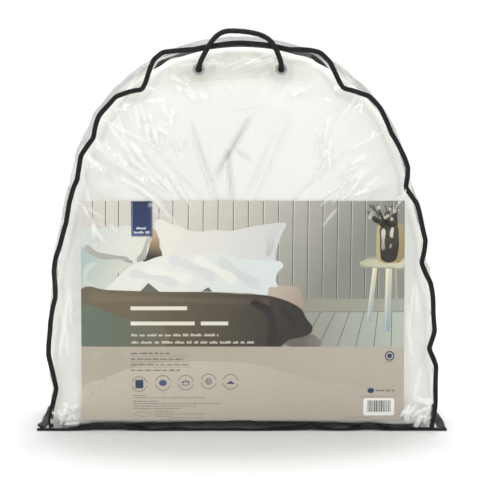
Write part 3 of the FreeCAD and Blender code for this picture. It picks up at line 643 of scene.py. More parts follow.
frontPanel = {
    "belly": 12.5,  # how far the middle stands in front of the seam
    "reach": 22.0,  # how quickly it gets there, mm from the seam
    "handleZone": ((128, 175), (432, 466)),  # held flat by the patch: across, up
    # middle across and up, reach across and along, lean, spread, count, width, height
    "clusters": [
        (-138, 338, 30, 62, -44, 9, 22, 3.4, 1.9),
        (-104, 398, 22, 34, -62, 24, 18, 3.2, 1.7),
        (-196, 276, 18, 30, -52, 14, 14, 3.0, 1.5),
        (-68, 451, 8, 26, -38, 12, 9, 2.8, 1.2),
        (80, 452, 6, 20, 20, 25, 6, 2.8, 1.0),
        (112, 371, 16, 34, 80, 12, 12, 3.0, 1.6),
        (138, 327, 20, 46, 38, 12, 14, 3.3, 1.5),
        (-20, 484, 5, 60, 4, 8, 10, 3.0, 0.9),
        (225, 120, 8, 60, 88, 8, 6, 3.2, 0.8),
        (-232, 130, 8, 60, 92, 8, 6, 3.2, 0.8),
        (232, 22, 16, 22, 20, 50, 16, 3.0, 2.6),
        (-238, 22, 14, 20, -15, 50, 16, 3.0, 2.6),
    ],
    "long": [(-136, 478, -60, 505, 3.5, 1.6), (-130, 462, -92, 486, 3, 1.5),
             (-196, 418, -120, 380, 4, 1.4), (-168, 438, -150, 376, 3.5, 1.2),
             (-212, 350, -196, 292, 3, 1.2), (150, 440, 118, 400, 4, 1.3),
             (188, 396, 140, 372, 3.5, 1.3), (222, 330, 196, 286, 3.5, 1.1),
             (-38, 420, -34, 310, 3, 0.7), (-72, 410, -34, 306, 3, 0.9)],
}
frontFolds = sprayFolds(frontPanel["clusters"], 5) + frontPanel["long"]


def frontFilmDepth(x, z, gap, folds=True):
    # how far forward the front film stands, smooth and then with its folds
    (nearX, farX), (lowZ, highZ) = frontPanel["handleZone"]
    flat = easeIn(z, lowZ, highZ) * (1 - easeIn(np.abs(x), nearX, farX))
    belly = frontPanel["belly"] * (1 - np.exp(-gap / frontPanel["reach"])) * (1 - flat)
    depth = frontFace - belly
    if folds:
        edge = easeIn(gap, 0, 16)
        depth = depth - foldRidges(x, z, frontFolds, True) * edge * (1 - 0.6 * flat)
        depth = depth - 0.35 * swell(x, z, 60, 3) * edge * (1 - flat)
        # a fold may not reach the card behind it
        depth = np.minimum(depth, frontFace - belly + np.where(z < card["top"] + 6, 0.9, 2.8))
    return depth


tapeLook = {"width": 6.5, "thickness": 2.2, "stitchGap": 4.2}
# how the foot tape at the front lifts: place across, half width, height of its upper edge
footLifts = [(-190, 40, 11), (-160, 40, 9), (-90, 30, 2), (60, 45, 3), (92, 30, 7.5),
             (168, 30, 11.5), (228, 40, 2)]


def footLift(x):
    return tents(x, footLifts)


def frontFoot(x):
    return footLift(x) * 0.45 + 1.0


def paintCreaseGlints(film, across, up, folds):
    # paints a highlight along the crest of each fold: white colour standing in for the film's glints
    crests = [(*ends, width * filmLook["crest"], abs(height)) for *ends, width, height in folds]
    strength = np.clip(foldRidges(across, up, crests, True) / filmLook["sharp"], 0, 1)
    mark = film.data.attributes.new("paintedGlint", "FLOAT", "POINT")
    mark.data.foreach_set("value", strength)


def makeFrontFilm():
    def place(u, v):
        x, z = panelPlace(u, v, "front", frontFoot)
        gap = seamGap(x, z)
        depth = frontFilmDepth(x, z, gap)
        depth = depth - 4.0 * np.exp(-z / 5.0)
        return np.stack([x, depth, z], 1)

    film = fullGrid("frontFilm", 220, 218, place)
    flat = meshPoints(film) / mm
    # paints highlights on the fold crests in place of glints
    paintCreaseGlints(film, flat[:, 0], flat[:, 2], frontFolds)
    giveWall(film, 0.3)
    dress(film, clearFilm, ("front_panel",))
    return film


makeFrontFilm()
print("front film made")


def ribbon(name, path, across, width, thickness, steps, rounding=0.32):
    # a folded tape along a path (mm), lying in the across direction, as a closed strip
    ahead = np.gradient(path, axis=0)
    ahead /= np.linalg.norm(ahead, axis=1)[:, None]
    across = across - ahead * (across * ahead).sum(1)[:, None]
    across /= np.linalg.norm(across, axis=1)[:, None]
    proud = np.cross(ahead, across)
    run = np.concatenate([[0], np.cumsum(np.linalg.norm(np.diff(path, axis=0), axis=1))])

    def place(u, v):
        turn = v * 2 * math.pi
        c, s = np.cos(turn), np.sin(turn)
        wide = np.sign(c) * np.abs(c) ** rounding * width / 2
        thick = np.sign(s) * np.abs(s) ** 0.7 * thickness / 2
        at = u * run[-1]
        centre, flat, out = (np.stack([np.interp(at, run, table[:, i]) for i in range(3)], 1)
                             for table in (path, across, proud))
        flat /= np.linalg.norm(flat, axis=1)[:, None]
        return centre + flat * wide[:, None] + out * thick[:, None]

    strip = fullGrid(name, steps, 16, place, (run[-1] / 10, (width + thickness) * 2 / 10))
    closeUp(strip)
    return strip, run[-1]


def stitchRow(name, path, across, shift, out, gap):
    # short raised thread bars that sink at their ends
    centre, run = evenly(path, gap / 4)
    index = np.arange(len(centre))
    side = np.stack([np.interp(run, np.linspace(0, run[-1], len(across)), across[:, i])
                     for i in range(3)], 1)
    line = centre + side * shift
    ahead = np.gradient(line, axis=0)
    ahead /= np.linalg.norm(ahead, axis=1)[:, None]
    proud = np.cross(ahead, side)
    bars = []
    for i in range(2, len(index) - 4, 4):
        piece = line[i:i + 4].copy()
        piece += proud[i:i + 4] * (out + np.array([-0.45, 0.05, 0.05, -0.45]))[:, None]
        bars.append(piece)
    return tubes(name, bars, 0.28, 0)


def boundSeam(name, node, waves, face, way):
    along = np.linspace(2, archLength - 2, 620)
    x, z = seamAt(along, tapeLook["width"] / 2, waves)
    soft = np.convolve(np.pad(x, 1, "edge"), np.ones(3) / 3, "valid")
    softZ = np.convolve(np.pad(z, 1, "edge"), np.ones(3) / 3, "valid")
    y = face + way * 0.6 + 0.9 * swell(along, along * 0, 90, 8)
    path = np.stack([soft, y, np.maximum(softZ, 2.5)], 1)
    _, _, outX, outZ = archAt(along)
    tilt = 0.28 * swell(along, along * 0, 70, 12)
    across = np.stack([outX, tilt, outZ], 1)
    strip, _ = ribbon(name, path, across, tapeLook["width"], tapeLook["thickness"], 760)
    dress(strip, blackTape)
    rows = []
    for side in (1, -1):
        rows.append(stitchRow("seamStitch", path, across, -1.4, side * tapeLook["thickness"] * 0.42,
                              tapeLook["stitchGap"]))
    stitches = joinAll(name + "Stitches", rows)
    dress(stitches, blackThread)
    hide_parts(node)
    return strip


boundSeam("frontBinding", "front_binding", "front", frontFace, -1)
boundSeam("backBinding", "back_binding", "back", backFace, 1)
print("bound seams made")


def footTape(name, node, path, across, width, steps=300):
    strip, _ = ribbon(name, path, across, width, 2.4, steps, 0.25)
    points = meshPoints(strip)
    points[:, 2] = np.maximum(points[:, 2], 0.0002)
    setPoints(strip, points)
    rows = [stitchRow("footStitch", path, across, 1.6, side * 1.05, tapeLook["stitchGap"])
            for side in (1, -1)]
    stitches = joinAll(name + "Stitches", rows)
    points = meshPoints(stitches)
    points[:, 2] = np.maximum(points[:, 2], 0.0001)
    setPoints(stitches, points)
    dress(stitches, blackThread)
    dress(strip, blackTape, (node,))


def frontFootTape():
    low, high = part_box("base_binding_front")
    x = np.linspace(low.x / mm, high.x / mm, 260)
    lift = footLift(x)
    lean = np.clip(lift / 11, 0, 1) * 1.25  # radians from lying flat
    width = 9.0
    y = (low.y + high.y) / 2 / mm + 1.5 * lean + 0.6 * swell(x, x * 0, 120, 4)
    z = 1.6 + np.sin(lean) * width / 2
    path = np.stack([x, y, z], 1)
    across = np.stack([x * 0, -np.cos(lean), -np.sin(lean)], 1)
    footTape("footTapeFront", "base_binding_front", path, across, width)


def backFootTape():
    low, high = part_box("base_binding_back")
    x = np.linspace(low.x / mm, high.x / mm, 200)
    lean = 0.25 * (1 + swell(x, x * 0, 160, 21))
    y = (low.y + high.y) / 2 / mm + x * 0
    path = np.stack([x, y, 1.7 + np.sin(lean) * 4.0], 1)
    across = np.stack([x * 0, np.cos(lean), -np.sin(lean)], 1)
    footTape("footTapeBack", "base_binding_back", path, across, 8.5)


def sideFootTape(name, node, way, seed):
    low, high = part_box(node)
    y = np.linspace(low.y / mm - 4, high.y / mm + 4, 110)
    lean = 0.3 * (1 + swell(y, y * 0, 90, seed))
    x = (low.x + high.x) / 2 / mm + way * 1.5 * swell(y, y * 0, 70, seed + 1)
    path = np.stack([x, y, 1.8 + np.sin(lean) * 5], 1)
    across = np.stack([way * np.cos(lean), y * 0, np.sin(lean)], 1)
    footTape(name, node, path, across, 10.5, 150)


frontFootTape()
backFootTape()
sideFootTape("footTapeLeft", "base_binding_left", -1, 31)
sideFootTape("footTapeRight", "base_binding_right", 1, 37)
print("foot tapes made")

gusset = {
    # how far it stands out: share of the way along, mm
    "fullness": [(0, 1), (0.3, 8), (0.5, 8), (0.75, 3), (1, 1)],
    "foldCount": 46,
}


def makeGusset():
    luck = np.random.default_rng(23)
    folds = []
    for _ in range(gusset["foldCount"]):
        along = luck.uniform(20, archLength - 20)
        cross = luck.uniform(10, 180)
        lean = math.radians(90 + luck.normal() * 28)
        half = luck.uniform(18, 70)
        folds.append((along - half * math.cos(lean), cross - half * math.sin(lean),
                      along + half * math.cos(lean), cross + half * math.sin(lean),
                      luck.uniform(3.5, 7), luck.uniform(-1.8, 1.8)))
    for place, _, height in seamWaves["front"]:
        if height < -6:
            folds.append((place, -12, place + luck.uniform(-25, 25), 95, 6, -2.5))
            folds.append((place + 9, -8, place + luck.uniform(10, 45), 70, 5, 2.0))
    depth = backFace - frontFace

    def place(u, v):
        along = 1.0 + u * (archLength - 2)
        fx, fz = seamAt(along, 3.0, "front")
        bx, bz = seamAt(along, 3.0, "back")
        _, _, outX, outZ = archAt(along)
        # the wave of each seam fades into the straight arch within a hand's breadth
        midX, midZ, _, _ = archAt(along)
        nearFront = np.exp(-v * depth / 26)
        nearBack = np.exp(-(1 - v) * depth / 26)
        rest = np.clip(1 - nearFront - nearBack, 0, 1)
        x = fx * nearFront + bx * nearBack + midX * rest
        z = fz * nearFront + bz * nearBack + midZ * rest
        total = nearFront + nearBack + rest
        x, z = x / total, z / total
        shares, heights = zip(*gusset["fullness"])
        belly = np.interp(along / archLength, shares, heights) * np.sin(math.pi * v) ** 0.55
        wrinkle = foldRidges(along, v * depth, folds, True) * np.sin(math.pi * v) ** 0.4
        out = belly + wrinkle + 0.8 * swell(along, v * depth, 70, 9) * np.sin(math.pi * v)
        foot = easeIn(z, -2, 60)
        x, z = x + outX * out * foot, z + outZ * out * foot
        return np.stack([x, frontFace + v * depth, np.maximum(z, 1.6)], 1)

    film = fullGrid("gussetFilm", 470, 56, place)
    giveWall(film, 0.3)
    dress(film, clearFilm, ("gusset",))


makeGusset()
print("gusset film made")

def cardDepth(x, z):
    # the board follows the inside of the front film, and is bent only at the lines of its squares
    def bent(cx, cz):
        gap = seamGap(cx, cz)
        belly = frontFilmDepth(cx, np.clip(cz, 0, 400), gap, folds=False)
        return belly + card["gap"] + 0.35 * swell(cx, cz, 190, 41)

    step = card["square"]
    columns = np.arange(math.floor((card["left"] - 8) / step), math.ceil((card["right"] + 8) / step) + 1)
    rows = np.arange(0, math.ceil((card["top"] + 8) / step) + 1)
    gridX, gridZ = np.meshgrid(columns * step, rows * step, indexing="ij")
    heights = bent(gridX.ravel(), gridZ.ravel()).reshape(gridX.shape)
    i = np.clip(np.floor(x / step).astype(int) - columns[0], 0, len(columns) - 2)
    j = np.clip(np.floor(z / step).astype(int), 0, len(rows) - 2)
    a, b = x / step - columns[0] - i, z / step - j
    return (heights[i, j] * (1 - a) * (1 - b) + heights[i + 1, j] * a * (1 - b)
            + heights[i, j + 1] * (1 - a) * b + heights[i + 1, j + 1] * a * b)


def ink(red, green, blue):
    return tuple(((c / 255 + 0.055) / 1.055) ** 2.4 if c > 10 else c / 255 / 12.92
                 for c in (red, green, blue))


def bar(x1, z1, x2, z2):
    return [(x1, z1), (x2, z1), (x2, z2), (x1, z2)]


def line(x1, z1, x2, z2, width):
    dx, dz = x2 - x1, z2 - z1
    long = math.hypot(dx, dz)
    ox, oz = -dz / long * width / 2, dx / long * width / 2
    return [(x1 + ox, z1 + oz), (x2 + ox, z2 + oz), (x2 - ox, z2 - oz), (x1 - ox, z1 - oz)]


def disc(x, z, radius, count=20, squeeze=1.0):
    turns = [2 * math.pi * i / count for i in range(count)]
    return [(x + radius * math.cos(t), z + radius * squeeze * math.sin(t)) for t in turns]


def words(x1, x2, z, height, seed, lean=0.0):
    # a line of small print as word-long bars
    luck = np.random.default_rng(seed)
    bars, x = [], x1
    while x < x2 - 1:
        wide = min(luck.uniform(3.0, 9.0) * height / 2, x2 - x)
        for step in np.arange(x, x + wide, height * 0.62):
            tall = height * luck.choice([0.7, 0.7, 1.0])
            rise = lean * (step - x1)
            bars.append(bar(step, z - height / 2 + rise, min(step + height * 0.44, x + wide),
                            z - height / 2 + tall + rise))
        x += wide + height * 0.9
    return bars


def petals(x, z, radius, turn):
    out = []
    for i in range(20):
        a = turn + 2 * math.pi * i / 20
        reach = radius * (0.72 + 0.28 * math.cos(5 * (a - turn)))
        out.append((x + reach * math.cos(a), z + reach * math.sin(a)))
    return out


def posy():
    # stems and blossoms above the vase, kept inside the board
    luck = np.random.default_rng(77)
    stems, blossoms, hearts, leaves = [], [], [], []
    for _ in range(26):
        x, z = luck.uniform(166, 210), luck.uniform(277, 301)
        stems.append(line(luck.uniform(182, 204), 268, x, z, luck.uniform(0.7, 1.3)))
        if luck.random() < 0.72:
            radius = luck.uniform(1.8, 3.0)
            blossoms.append(petals(x, z, radius, luck.uniform(0, 6)))
            hearts.append(disc(x + 0.2, z, radius * 0.28, 8))
        else:
            leaves.append(line(x, z, x + luck.uniform(-4, 4), z + luck.uniform(-1, 3.5), 1.8))
    for _ in range(12):
        x = luck.uniform(182, 208)
        leaves.append(line(x, 272, x + luck.uniform(-2, 2), luck.uniform(280, 292), 2.2))
    return stems, blossoms, hearts, leaves


stems, blossoms, hearts, leaves = posy()
boardX = [-195, -178, -161, -142, -125, -108, -90, -70, -50.5, -31, -11, 8.5, 28, 48, 67, 86.5, 106,
          125, 143, 161.5, 179, 196.5]
left, right, low, high = card["left"], card["right"], card["bottom"], card["top"]
iconSpots = [(-135, 63), (-104, 64.5), (-74, 65), (-44, 66.5), (-15, 66)]
navy, slate, rule = ink(38, 52, 96), ink(88, 88, 98), ink(130, 124, 112)

# each print: layer, rounded or straight, inks at two spots, and its outlines in mm on the board
prints = {
    "wall": (1, False, [(ink(208, 203, 196), -60, 300), (ink(134, 136, 130), 100, 180)],
             [bar(left, 110, right, high)]),
    "boardShine": (3, False, [(ink(226, 222, 214), 0, 300), (ink(176, 176, 170), 60, 180)],
                   [line(x + 1.1, high, x - 0.2, 176, 0.9) for x in boardX]),
    "boardGaps": (4, False, [(ink(84, 72, 66), 0, 300), (ink(70, 70, 66), 60, 180)],
                  [line(x, high, x - 1.2, 176, 1.0) for x in boardX]),
    "skirting": (5, False, [(ink(146, 144, 134), 80, 165), (ink(160, 162, 152), 210, 165)],
                 [bar(60, 157, right, 176)]),
    "skirtingShade": (6, False, [(ink(112, 110, 102), 80, 158)] * 2, [line(76, 158.8, right, 158.8, 0.8)]),
    "floorBoards": (6, False, [(ink(150, 150, 142), 90, 120), (ink(176, 184, 176), 200, 140)],
                    [bar(40, 112, right, 158.4)]),
    "floorGaps": (7, False, [(ink(70, 68, 64), 150, 130)] * 2,
                  [line(103, 158, 84, 124, 0.8), line(122, 158, 100, 113, 0.8),
                   line(141, 158, 125, 113, 0.8), line(160, 158, 149, 113, 0.8),
                   line(178, 158, 173, 113, 0.8), line(196.5, 158, 196, 113, 0.8)]),
    "floorShade": (7, True, [(ink(104, 100, 94), 80, 118), (ink(130, 128, 120), 105, 116)],
                   [[(50, 124), (84, 131), (100, 124), (104, 115), (60, 114.5)]]),
    "stoolLegBack": (8, False, [(ink(168, 160, 140), 200, 215), (ink(150, 160, 156), 200, 160)],
                     [line(201, 219, 203, 158, 3.6)]),
    "stoolLegs": (9, False, [(ink(214, 204, 180), 180, 215), (ink(142, 164, 172), 180, 140)],
                  [line(174.5, 220, 166, 146, 6.4), line(192.3, 220, 190, 133, 8.4)]),
    "stoolLegLight": (10, False, [(ink(236, 230, 208), 180, 215), (ink(172, 186, 186), 180, 140)],
                      [line(173.2, 220, 164.6, 147, 1.8), line(190.6, 220, 188, 134, 2.4)]),
    "stoolShade": (11, True, [(ink(160, 160, 144), 190, 217)] * 2,
                   [[(155, 221), (172, 217), (195, 215.6), (right - 1, 216), (right - 1, 220)]]),
    "stoolTop": (12, True, [(ink(186, 184, 164), 160, 222), (ink(204, 200, 180), 205, 226)],
                 [[(154, 223), (160, 226.4), (176, 228.4), (196, 228.8), (right - 0.6, 228),
                   (right - 0.6, 218.5), (196, 217.4), (176, 218), (160, 220)]]),
    "vase": (13, True, [(ink(186, 172, 134), 177, 250), (ink(150, 132, 92), 211, 240)],
             [[(178, 273.5), (176, 262), (175.8, 246), (178.6, 226), (186, 223), (200, 223), (208.5, 225),
               (211.5, 240), (211.8, 258), (209.5, 273.5), (194, 275)]]),
    "vaseDark": (14, True, [(ink(62, 60, 50), 186, 262), (ink(32, 32, 30), 196, 232)],
                 [[(182, 271), (180.6, 254), (181, 236), (183.5, 226.5), (200, 226), (204.5, 238), (205, 258),
                   (202.5, 271), (192, 272)]]),
    "vaseGlow": (15, True, [(ink(206, 204, 190), 186, 262), (ink(130, 124, 104), 186, 238)],
                 [[(183.6, 268), (182.8, 252), (184.4, 240), (186.2, 252), (186, 268)],
                  [(195.4, 269), (196, 256), (197.6, 262), (197, 270)],
                  [(193.2, 245), (195.6, 248), (195, 244), (193.8, 242)]]),
    "stems": (14, False, [(ink(56, 54, 44), 190, 280)] * 2, stems + leaves),
    "blossoms": (15, False, [(ink(232, 226, 208), 180, 300), (ink(198, 188, 164), 205, 278)], blossoms),
    "blossomHearts": (16, False, [(ink(96, 82, 58), 190, 280)] * 2, hearts),
    "leftPillow": (8, True, [(ink(204, 210, 208), -205, 262), (ink(222, 221, 214), -140, 250)],
                   [[(left, 265), (-195, 269), (-168, 270), (-149, 272), (-132, 271), (-117, 259),
                     (-121, 246), (-124, 233), (-129, 225), (-142, 222), (-164, 229), (-185, 231),
                     (-200, 236), (left, 246)]]),
    "leftPillowShade": (9, True, [(ink(186, 190, 186), -125, 255), (ink(168, 170, 164), -130, 228)],
                        [[(-119, 257), (-123, 246), (-126, 233), (-131, 226), (-137, 225), (-131, 238)],
                         [(-205, 246), (-190, 238), (-165, 233), (-148, 227), (-160, 228), (-190, 230)]]),
    "leftSatin": (8, True, [(ink(172, 188, 188), -205, 230), (ink(206, 210, 200), -165, 205)],
                  [[(left, 247), (-200, 237), (-185, 232), (-164, 229), (-142, 222), (-153, 215), (-168, 205),
                    (-177, 189), (-195, 187), (left, 187)]]),
    "leftSatinShine": (9, True, [(ink(196, 206, 202), -200, 215), (ink(204, 206, 194), -198, 192)],
                       [[(-201, 222), (-192, 223), (-200, 212), (-203, 203), (-196, 190), (-204, 190),
                         (-208, 206)]]),
    "bedGap": (8, True, [(ink(196, 168, 136), -114, 262), (ink(52, 46, 44), -118, 232)],
               [[(-118, 268), (-112, 264), (-109, 246), (-104, 231), (-121, 226), (-129, 224), (-124, 235),
                 (-120, 250)]]),
    "backPillow": (9, True, [(ink(226, 223, 217), -90, 262), (ink(206, 206, 210), 40, 255)],
                   [[(-112, 279), (-93, 275), (-80, 271), (-69, 266), (-54, 264.5), (-37, 267), (-20, 265),
                     (-5, 267), (8, 270), (22, 272.5), (40, 275), (52, 276), (57.5, 274.8), (53, 264),
                     (48, 250), (44, 236), (42, 222), (0, 218), (-100, 222), (-105, 238), (-108, 254)]]),
    "backPillowShade": (10, True, [(ink(206, 206, 208), 25, 262), (ink(190, 186, 182), 40, 236)],
                        [[(30, 268), (50, 272), (44, 258), (40, 240), (34, 232), (32, 248)]]),
    "frontSatin": (11, True, [(ink(226, 226, 222), -120, 215), (ink(214, 220, 222), 20, 215)],
                   [[(-177, 187), (-168, 199), (-153, 214), (-142, 221.5), (-127, 225), (-111, 231),
                     (-94, 234), (-70, 235), (-46, 235), (-21, 234), (0, 229), (14, 226.5), (35, 226.5),
                     (54, 221), (47, 211), (44, 200), (46.5, 192.5), (36, 191), (32.5, 180), (15, 183),
                     (-3, 184), (-39, 185), (-109, 185), (-140, 186)]]),
    "satinFolds": (12, True, [(ink(213, 216, 217), -100, 210), (ink(208, 212, 214), 20, 205)],
                   [[(-148, 210), (-120, 208), (-84, 196), (-118, 202)],
                    [(-96, 230), (-64, 222), (-34, 202), (-66, 214)],
                    [(-30, 228), (-4, 214), (24, 192), (-8, 206)]]),
    "satinShine": (13, True, [(ink(232, 231, 227), -60, 220), (ink(228, 227, 224), 20, 200)],
                   [[(-128, 216), (-98, 212), (-64, 200), (-98, 206)],
                    [(-62, 230), (-34, 220), (-8, 198), (-36, 212)]]),
    "satinPockets": (13, False, [(ink(96, 102, 98), -120, 190)] * 2,
                     [[(-122.5, 197), (-114, 190), (-108, 185.4), (-133, 186)],
                      [(-44, 191.5), (-39, 185.4), (-53, 185.6)]]),
    "mattress": (9, True, [(ink(186, 173, 160), 45, 188), (ink(164, 148, 134), 78, 172)],
                 [[(30, 192), (51, 193.6), (68, 192.4), (76, 189), (79, 181), (78, 163), (60, 160),
                   (30, 170)]]),
    "blanket": (14, True, [(ink(106, 96, 76), -150, 180), (ink(44, 38, 34), 60, 150)],
                [[(left, 188.4), (-177, 187.6), (-109, 185.4), (-39, 184.6), (-3, 182.4), (32, 180.5),
                  (51, 176), (68, 169), (78, 162), (84, 151), (92.5, 135), (83, 127), (60, 121),
                  (50, 112.5), (-80, 112.4), (left, 112.4)]]),
    "blanketGreen": (15, True, [(ink(96, 112, 98), -200, 140), (ink(104, 98, 84), -110, 130)],
                     [[(left, 166), (-186, 162), (-150, 150), (-112, 142), (-96, 126), (-100, 114),
                       (left, 113)]]),
    "blanketFolds": (15, True, [(ink(38, 34, 32), 20, 130), (ink(30, 27, 26), 60, 140)],
                     [[(12, 172), (36, 165), (44, 150), (46, 128), (42, 113), (34, 113), (36, 140),
                       (28, 158)],
                      [(50, 165), (62, 156), (70, 140), (60, 152)]]),
    "blanketLight": (15, True, [(ink(116, 104, 84), -150, 178), (ink(78, 68, 58), 20, 174)],
                     [[(-200, 181), (-150, 180), (-60, 177), (10, 175), (36, 172), (10, 169), (-60, 171),
                       (-150, 173), (-200, 175)]]),
    "infoPanel": (16, False, [(ink(176, 168, 154), -100, 110), (ink(180, 172, 160), 150, 90)],
                  [bar(left, low, right, 112.8)]),
    "infoWave": (17, True, [(ink(192, 184, 172), -60, 90), (ink(184, 176, 166), 80, 40)],
                 [[(left + 0.4, 58), (-180, 71), (-147, 84), (-110, 91), (-67, 93.4), (-30, 93), (0, 91.5),
                   (38, 85), (84, 71), (118, 63.4), (138, 64), (164, 57.6), (190, 49), (right - 0.4, 42),
                   (right - 0.4, low + 0.5), (100, low + 0.4), (0, low + 0.4), (-100, low + 0.4),
                   (left + 0.6, low + 0.5)]]),
    "headerLabel": (17, False, [(ink(28, 44, 86), -130, 290), (ink(34, 52, 96), -130, 265)],
                    [bar(-144.5, 258, -117, high - 0.4)]),
    "headerEdge": (18, False, [(ink(122, 142, 182), -130, 290)] * 2,
                   [bar(-143.4, 259.2, -118.2, 260), bar(-143.4, 260, -142.7, 302.5),
                    bar(-118.9, 260, -118.2, 302.5)]),
    "headerBars": (18, False, [(ink(222, 226, 234), -130, 266)] * 2,
                   words(-138, -123, 269, 3.2, 5) + words(-141, -120.5, 263.4, 3.0, 9)),
    "headings": (17, False, [(ink(226, 222, 212), -80, 150)] * 2,
                 [bar(-146, 161, -72, 166), bar(-146, 141, -62, 146), bar(-54, 141, -18, 146)]),
    "scriptLines": (17, False, [(ink(214, 210, 198), -80, 120)] * 2,
                    words(-145, -31, 128.2, 3.4, 12) + words(-145, 17, 118.6, 3.4, 18)),
    "featureLines": (18, False, [(slate, -80, 90)] * 2,
                     words(-146, -92, 104, 2.4, 21) + words(-146, -77, 96.4, 2.4, 22)
                     + words(-146, -71, 89, 2.4, 23) + words(-146, -81, 81.6, 2.4, 24)),
    "featureRules": (18, False, [(rule, -80, 90)] * 2,
                     [bar(-146, z, -67, z + 0.35) for z in (100.2, 92.6, 85.2)]),
    "ringMarks": (18, False, [(slate, -80, 65)] * 2,
                  [line(x + 9.9 * math.cos(t), z + 9.9 * math.sin(t), x + 9.9 * math.cos(t + 0.13),
                        z + 9.9 * math.sin(t + 0.13), 1.3)
                   for x, z in iconSpots
                   for t in [2 * math.pi * i / 30 for i in range(30) if i % 15 not in (0, 14)]]),
    "ringHearts": (18, False, [(ink(74, 84, 118), -80, 65)] * 2,
                   [disc(-135, 62.4, 1.9), disc(-104, 64.5, 5.2, 24, 0.8),
                    *[bar(-49 + i * 1.7, 66.5 - 5.0 * math.sin(math.pi * (i + 0.6) / 7), -48.1 + i * 1.7,
                          66.5 + 5.0 * math.sin(math.pi * (i + 0.6) / 7)) for i in range(6)],
                    line(-20, 63.5, -15, 67, 0.8), line(-15, 67, -10, 63.5, 0.8),
                    line(-79, 63, -74, 61, 1.0), line(-74, 61, -69, 63, 1.0),
                    line(-140, 57.5, -140, 68.5, 0.5), line(-130, 57.5, -130, 68.5, 0.5),
                    line(-140, 57.5, -130, 57.5, 0.5), line(-140, 68.5, -130, 68.5, 0.5),
                    *[disc(-77.5 + 3.5 * i, 67 - abs(i - 1) * 1.5, 1.5, 10) for i in range(3)]]),
    "smallLines": (18, False, [(ink(112, 110, 112), -80, 35)] * 2,
                   words(-143.5, -126, 48, 1.7, 31) + words(-143.5, -46, 44.8, 1.5, 32)
                   + words(-143, -110, 40, 1.7, 33) + words(-143, -29, 36.8, 1.5, 34)
                   + words(-142.5, -60, 33.5, 1.5, 35) + words(-142, -79, 30.2, 1.5, 36)
                   + words(-115, -90, 26, 1.3, 37) + words(-115, -50, 22.8, 1.2, 38)
                   + words(-115, -92, 19.6, 1.3, 39) + words(-96, -47, 17.2, 1.0, 40)
                   + words(137, 169, 17.8, 1.0, 41)),
    "ovalMark": (18, False, [(ink(120, 122, 132), -130, 22)] * 2,
                 [disc(-130, 22.2, 11.2, 32, 0.3), disc(-130, 22.2, 10.6, 32, 0.27)]),
    "roundMark": (18, False, [(navy, 194, 100)] * 2, [disc(194, 100.5, 6.4, 28), disc(194, 100.5, 4.9, 24)]),
    "roundHeart": (18, False, [(navy, 194, 100)] * 2, [disc(194, 100.5, 3.2, 20)]),
    "markLines": (18, False, [(slate, 190, 80)] * 2,
                  words(188.5, 199.5, 92.6, 1.2, 50) + words(176, 201, 54.6, 2.6, 51)
                  + words(155.5, 200.5, 46.9, 0.9, 52)),
    "markDisc": (18, False, [(navy, 169, 54)] * 2, [disc(169.5, 54.4, 4.4, 24, 0.8)]),
}
stickerPrints = {
    "paper": (20, False, [(ink(240, 240, 238), 180, 32)] * 2,
              [[(162, 20.4), (198.8, 20.4), (200.8, 22.4), (200.8, 42), (198.8, 44), (162, 44), (160, 42),
                (160, 22.4)]]),
}


def barcode():
    luck = np.random.default_rng(2024)
    bars, x = [], 165.0
    while x < 196:
        wide = luck.choice([0.45, 0.45, 0.9, 1.3])
        bars.append(bar(x, 25.6, min(x + wide, 196.5), 41.2))
        x += wide + luck.choice([0.5, 0.5, 0.9, 1.2])
    return bars


stickerPrints["bars"] = (22, False, [(ink(40, 40, 44), 180, 32)] * 2, barcode())


def flatShape(name, outlines, rounded):
    curve = bpy.data.curves.new(name, "CURVE")
    curve.dimensions = "2D"
    curve.fill_mode = "FRONT"
    for points in outlines:
        if rounded:
            spline = curve.splines.new("BEZIER")
            spline.bezier_points.add(len(points) - 1)
            for knot, (x, z) in zip(spline.bezier_points, points):
                knot.co = (x, z, 0)
                knot.handle_left_type = knot.handle_right_type = "AUTO"
            spline.resolution_u = 5
        else:
            spline = curve.splines.new("POLY")
            spline.points.add(len(points) - 1)
            for knot, (x, z) in zip(spline.points, points):
                knot.co = (x, z, 0, 1)
        spline.use_cyclic_u = True
    holder = bpy.data.objects.new(name, curve)
    scene.collection.objects.link(holder)
    pick(holder)
    bpy.ops.object.convert(target="MESH")
    return bpy.context.object


def printedInk(name, gloss):
    look, tree, paper = newLook(name)
    colour = addNode(tree, "ShaderNodeAttribute", attribute_name="ink")
    place = placeOn(tree)
    speck = noiseOn(tree, place, 900, 2, 0.6)
    cloudy = noiseOn(tree, place, 26, 3)
    tone = tree.nodes.new("ShaderNodeMapRange")
    tone.inputs["To Min"].default_value = 0.88
    tone.inputs["To Max"].default_value = 1.1
    mixed = sums(tree, sums(tree, speck, 0.6, "MULTIPLY"), sums(tree, cloudy, 0.4, "MULTIPLY"))
    tree.links.new(mixed, tone.inputs["Value"])
    scaled = tree.nodes.new("ShaderNodeVectorMath")
    scaled.operation = "SCALE"
    tree.links.new(colour.outputs["Color"], scaled.inputs[0])
    tree.links.new(tone.outputs["Result"], scaled.inputs["Scale"])
    tree.links.new(scaled.outputs["Vector"], paper.inputs["Base Color"])
    paper.inputs["Roughness"].default_value = gloss
    paper.inputs["Specular IOR Level"].default_value = 0.3
    bumpOn(tree, paper, speck, 0.15, 0.05)
    return look


